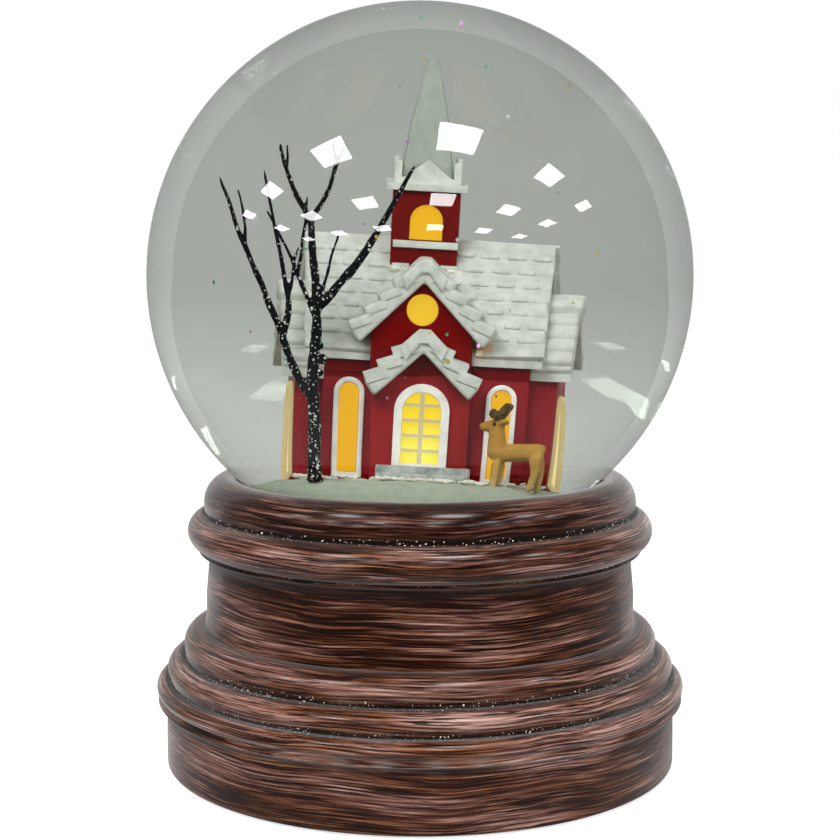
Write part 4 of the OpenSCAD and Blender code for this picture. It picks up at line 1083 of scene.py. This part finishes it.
def make_deer():
    hide = baked(cad_mesh("deer"), skin(0.24), smooth(0.5, 14))
    deer = finish_piece("fawn", hide, "deer", ("deer",), 0)
    thicker = ("DISPLACE", {"strength": 0.3 * MM, "mid_level": 0.0})
    horns = baked(cad_mesh("deer_antlers"), skin(0.14), thicker, smooth(0.5, 3))
    for vert in horns.vertices:
        vert.co += vert.normal * 0.4 * MM * noise.noise(vert.co / MM * 0.75)
    finish_piece("fawn_antlers", horns, "antlers", ("deer_antlers",), 0)
    at, normal = on_surface("deer_eye", deer)
    work = bmesh.new()
    bmesh.ops.create_icosphere(work, subdivisions=3, radius=0.5 * MM)
    for vert in work.verts:
        vert.co = at - normal * 0.15 * MM + vert.co
    return deer, finish_piece("fawn_eye", mesh_of(work, "eye"), "eye", (), 0)


FLAKES = {"gold": (0.9, 0.62, 0.12), "green": (0.1, 0.75, 0.4), "violet": (0.6, 0.3, 0.6),
          "silver": (0.8, 0.82, 0.85)}


def make_glitter_flakes():
    """Small six-sided foil flakes that drift in the water and lie in the snow."""
    draw = random.Random(51)
    reach, low, front, high, half_thick = 62, -30, -30, 40, 0.03
    for name, colour in FLAKES.items():
        points, faces = [], []
        for _ in range(14):
            while True:
                at = Vector([draw.uniform(-reach, reach) for _ in range(3)])
                if at.length < reach and at.z > low and (at.y < front or at.z > high):
                    break
            turn = Matrix.Rotation(draw.uniform(0, pi), 4, Vector([draw.uniform(-1, 1) for _ in range(3)]))
            size = draw.uniform(0.35, 0.6)
            first = len(points)
            for z in (-half_thick, half_thick):
                for k in range(6):
                    points.append(at + Vector((0, 0, GLOBE_Z)) + turn @ polar(size, k * pi / 3, z))
            faces += [tuple(range(first + 5, first - 1, -1)), tuple(range(first + 6, first + 12))]
            faces += quads(first, 1, 6)
        mesh = new_mesh(name, points, faces)
        brighter = tuple(min(1, c * 1.3) for c in colour)
        mesh.materials.append(mottled("flake_" + name, 0.15, colour, brighter, 1.0, Metallic=0.9))
        finish_piece("flakes_" + name, mesh, "glass", (), 20)


# ---------- light and surroundings, placed in metres ----------
# brightness of the room in reflections, by how far a direction points to the back: dark behind the camera
GLOSS = ((0.0, 0.05), (0.3, 0.1), (0.515, 0.14), (0.535, 0.75), (0.73, 0.5), (0.88, 0.42), (0.97, 0.42),
         (0.995, 1.0))
AMBIENT = 0.62
BEHIND = 1.02          # brightness of the backdrop through the water
SIDE_SLOPE = 0.1       # how much brighter it is on the right than on the left
WHITE = (1, 1, 1, 1)


def make_world():
    """White backdrop for the camera and the water, and a grey room with a pale tent behind for gloss."""
    world = bpy.data.worlds.new("studio")
    bpy.context.scene.world = world
    world.use_nodes = True
    sky = Nodes(world.node_tree)
    ray = sky.node("LightPath").outputs
    x, y, z = sky.apart(sky.node("TexCoord").outputs["Generated"])
    sides = sky.math("MULTIPLY_ADD", x, SIDE_SLOPE, 1.0)
    behind = sky.times(sky.fade(z, 0.0, 0.24, BEHIND, 1.36), sides)
    strength = sky.choose(ray["Is Glossy Ray"], AMBIENT, sky.ramp(y, *GLOSS))
    strength = sky.choose(ray["Is Transmission Ray"], strength, behind)
    backdrop = sky.tree.nodes["Background"].inputs
    sky.fill(backdrop["Strength"], sky.choose(ray["Is Camera Ray"], strength, 1.0))
    sky.fill(backdrop["Color"], WHITE)


def make_lamp(name, at, target, size, power):
    data = bpy.data.lights.new(name, "AREA")
    data.shape = "RECTANGLE"
    data.size, data.size_y = size
    data.energy = power
    lamp = linked(name, data)
    lamp.location = at
    lamp.rotation_euler = (Vector(target) - Vector(at)).to_track_quat("-Z", "Y").to_euler()
    lamp.visible_camera = False
    lamp.visible_glossy = False
    lamp.visible_transmission = False


def stage_piece(name, points, faces, look):
    mesh = bpy.data.meshes.new(name)
    mesh.from_pydata(points, [], faces)
    mesh.materials.append(look)
    made = linked(name, mesh)
    return made


def square(x, y, z, half):
    return [(x + a * half, y + b * half, z) for a, b in ((-1, -1), (1, -1), (1, 1), (-1, 1))]


def make_floor():
    """Pale floor, white through the water and where it isn't shaded, that ends early in reflections."""
    reach = 4.0
    near, far = 120, 380        # millimetres from the middle
    look = Look("floor_white", Base_Color=(0.5, 0.5, 0.5, 1), Roughness=0.9, Specular_IOR_Level=0.0,
                Emission_Color=WHITE)
    ray = look.node("LightPath").outputs
    look.set("Emission Strength", look.times(ray["Is Camera Ray"], 0.7))
    through = ray["Is Transmission Ray"]
    x, y = look.axes()[:2]
    away = look.from_axis(x, y)
    gloss = look.ramp(look.math("DIVIDE", y, away), *GLOSS)
    gloss = look.mix(look.fade(away, near, far), (0.3, 0.3, 0.3), gloss)
    seen = look.math("MULTIPLY_ADD", look.math("DIVIDE", x, away), SIDE_SLOPE * BEHIND, BEHIND)
    white = look.node("Emission", {"Strength": look.mix(through, gloss, seen)})
    floor = look.swap(look.math("MAXIMUM", through, ray["Is Glossy Ray"]), white)
    stage_piece("floor", square(0, 0, 0, reach), [(0, 1, 2, 3)], floor)


def make_ceiling():
    """Square ceiling lights in rows, seen only as reflections in the glass and the satin wood."""
    height, pitch, size, rows, columns = 2.13, 1.95, 0.6, 3, 6
    first_x, first_y = -5.3, -1.22
    look = Look("ceiling_light", Base_Color=(0, 0, 0, 1), Specular_IOR_Level=0.0, Emission_Color=WHITE)
    unscattered = look.math("LESS_THAN", look.node("LightPath").outputs["Diffuse Depth"], 0.5)
    look.set("Emission Strength", look.times(unscattered, 18.0))
    points = [p for row in range(rows) for column in range(columns)
              for p in square(first_x + column * pitch, first_y - row * pitch, height, size / 2)]
    faces = [tuple(range(i, i + 4)) for i in range(0, len(points), 4)]
    panels = stage_piece("ceiling_lights", points, faces, look.made)
    look.made.cycles.emission_sampling = "NONE"
    panels.visible_camera = False
    panels.visible_diffuse = False
    panels.visible_shadow = False


# ---------- make everything ----------
for node, shown in frame["nodes"].items():
    shown.data.materials.clear()
    shown.data.materials.append(LOOKS["black_plastic" if node == "battery_door" else slot_of[node]])
    for face in shown.data.polygons:
        face.material_index = 0

make_globe()
make_base()
soften("chapel_walls", "nave_walls", 0.15, apart=in_end_window, other="end_frames")
soften("entrance_walls", "bay_walls", 0.15, "bay_red")
soften("tower_walls", "belfry_walls", 0.15, "belfry_red")
soften("tower_cornice", "belfry_top", 0.15, "roof")
spire = soften("spire", "spire_point", 0.25)
window_frames = soften("window_frames", "side_frames", 0.25, apart=lambda at: abs(at.x) > END_U,
                       other="end_frames")
door_frame = soften("door_frame", "door_surround", 0.22, apart=in_door, other="door_bars")
soften("nave_roof", "nave_core", 0.5, segments=3)
soften("wing_roofs", "wing_core", 1.0, segments=4)
gable = soften("entrance_roof", "gable_core", 0.8, segments=4)
soften("porch_roof", "porch_core", 0.8, segments=4)
step = soften("entrance_steps", "door_step", 0.4, segments=3)
make_nave_shingles()
make_wing_shingles()
make_entrance_blocks()
make_trim()
make_snow()
make_crumbs()
make_tree()
deer, eye = make_deer()
make_glitter_flakes()

make_world()
make_floor()
make_ceiling()
make_lamp("key", (-0.6, -1.35, 1.35), (0, 0, 0.11), (1.0, 0.8), 36)
make_lamp("fill", (1.2, -1.3, 0.7), (0, 0, 0.1), (0.9, 0.9), 17)
make_lamp("back", (0.3, 1.4, 1.4), (0, 0, 0.1), (1.2, 0.8), 11)

bpy.context.scene.view_settings.view_transform = "Standard"


# ---------- where each named place shows in the image ---------------
def furthest(obj, direction, only=None):
    """The vertex of an object that lies furthest along a direction."""
    verts = [v.co for v in obj.data.vertices if only is None or only(v.co)]
    return max(verts, key=lambda p: p.dot(Vector(direction)))


def edge_at(radius, z, side):
    """The outermost place that the camera sees of a ring about the Z axis."""
    y = radius * radius / CAMERA_AT[1]
    return Vector((side * sqrt(radius * radius - y * y), y, z)) * MM


def front_window(point, side):
    at = local(point)
    return at.y < 0.5 and side * at.x > 10 and abs(at.x) < 22


def write_points():
    up = (in_chapel.to_3x3() @ Vector((0, 0, 1))).normalized()
    right = (in_chapel.to_3x3() @ Vector((1, 0, 0))).normalized()
    centre = camera.location - ball_centre
    ring_r = GLOBE_R * MM * sqrt(1 - (GLOBE_R * MM / centre.length) ** 2)
    towards = ball_centre + centre * (GLOBE_R * MM / centre.length) ** 2
    ring_up = Vector((1, 0, 0)).cross(centre).normalized()
    ring_up *= 1 if ring_up.z > 0 else -1
    in_air = {
        "globe_left": towards + Vector((-ring_r, 0, 0)),
        "globe_right": towards + Vector((ring_r, 0, 0)),
        "globe_top": towards + ring_up * ring_r,
        "base_bottom": Vector((0, -BAND_R + 0.9, FOOT_GAP)) * MM,
        "rim_left": edge_at(RIM_R, RIM_Z, -1),
        "rim_right": edge_at(RIM_R, RIM_Z, 1),
        "bead_left": edge_at(BEAD_R, BEAD_Z, -1),
        "bead_right": edge_at(BEAD_R, BEAD_Z, 1),
    }
    in_water = {
        "spire_tip": furthest(spire, up),
        "gable_tip_left": furthest(gable, -right),
        "gable_tip_right": furthest(gable, right),
        "round_window": in_chapel @ Vector((-1.7, -BAY_OUT, 39)) * MM,
        "door_frame_top": furthest(door_frame, up),
        "left_window_top": furthest(window_frames, up, lambda p: front_window(p, -1)),
        "right_window_top": furthest(window_frames, up, lambda p: front_window(p, 1)),
        "step_left": furthest(step, -right, lambda p: local(p).z > 2),
        "step_right": furthest(step, right, lambda p: local(p).z > 2),
        "trunk_foot": TREE_FOOT * MM,
        "deer_tail": furthest(deer, right, lambda p: p.z > (GROUND_Z + 7) * MM),
        "deer_eye": eye.data.vertices[0].co,
    }
    for places, wet in ((in_air, False), (in_water, True)):
        for name, place in places.items():
            x, y = image_of(place, wet)


write_points()
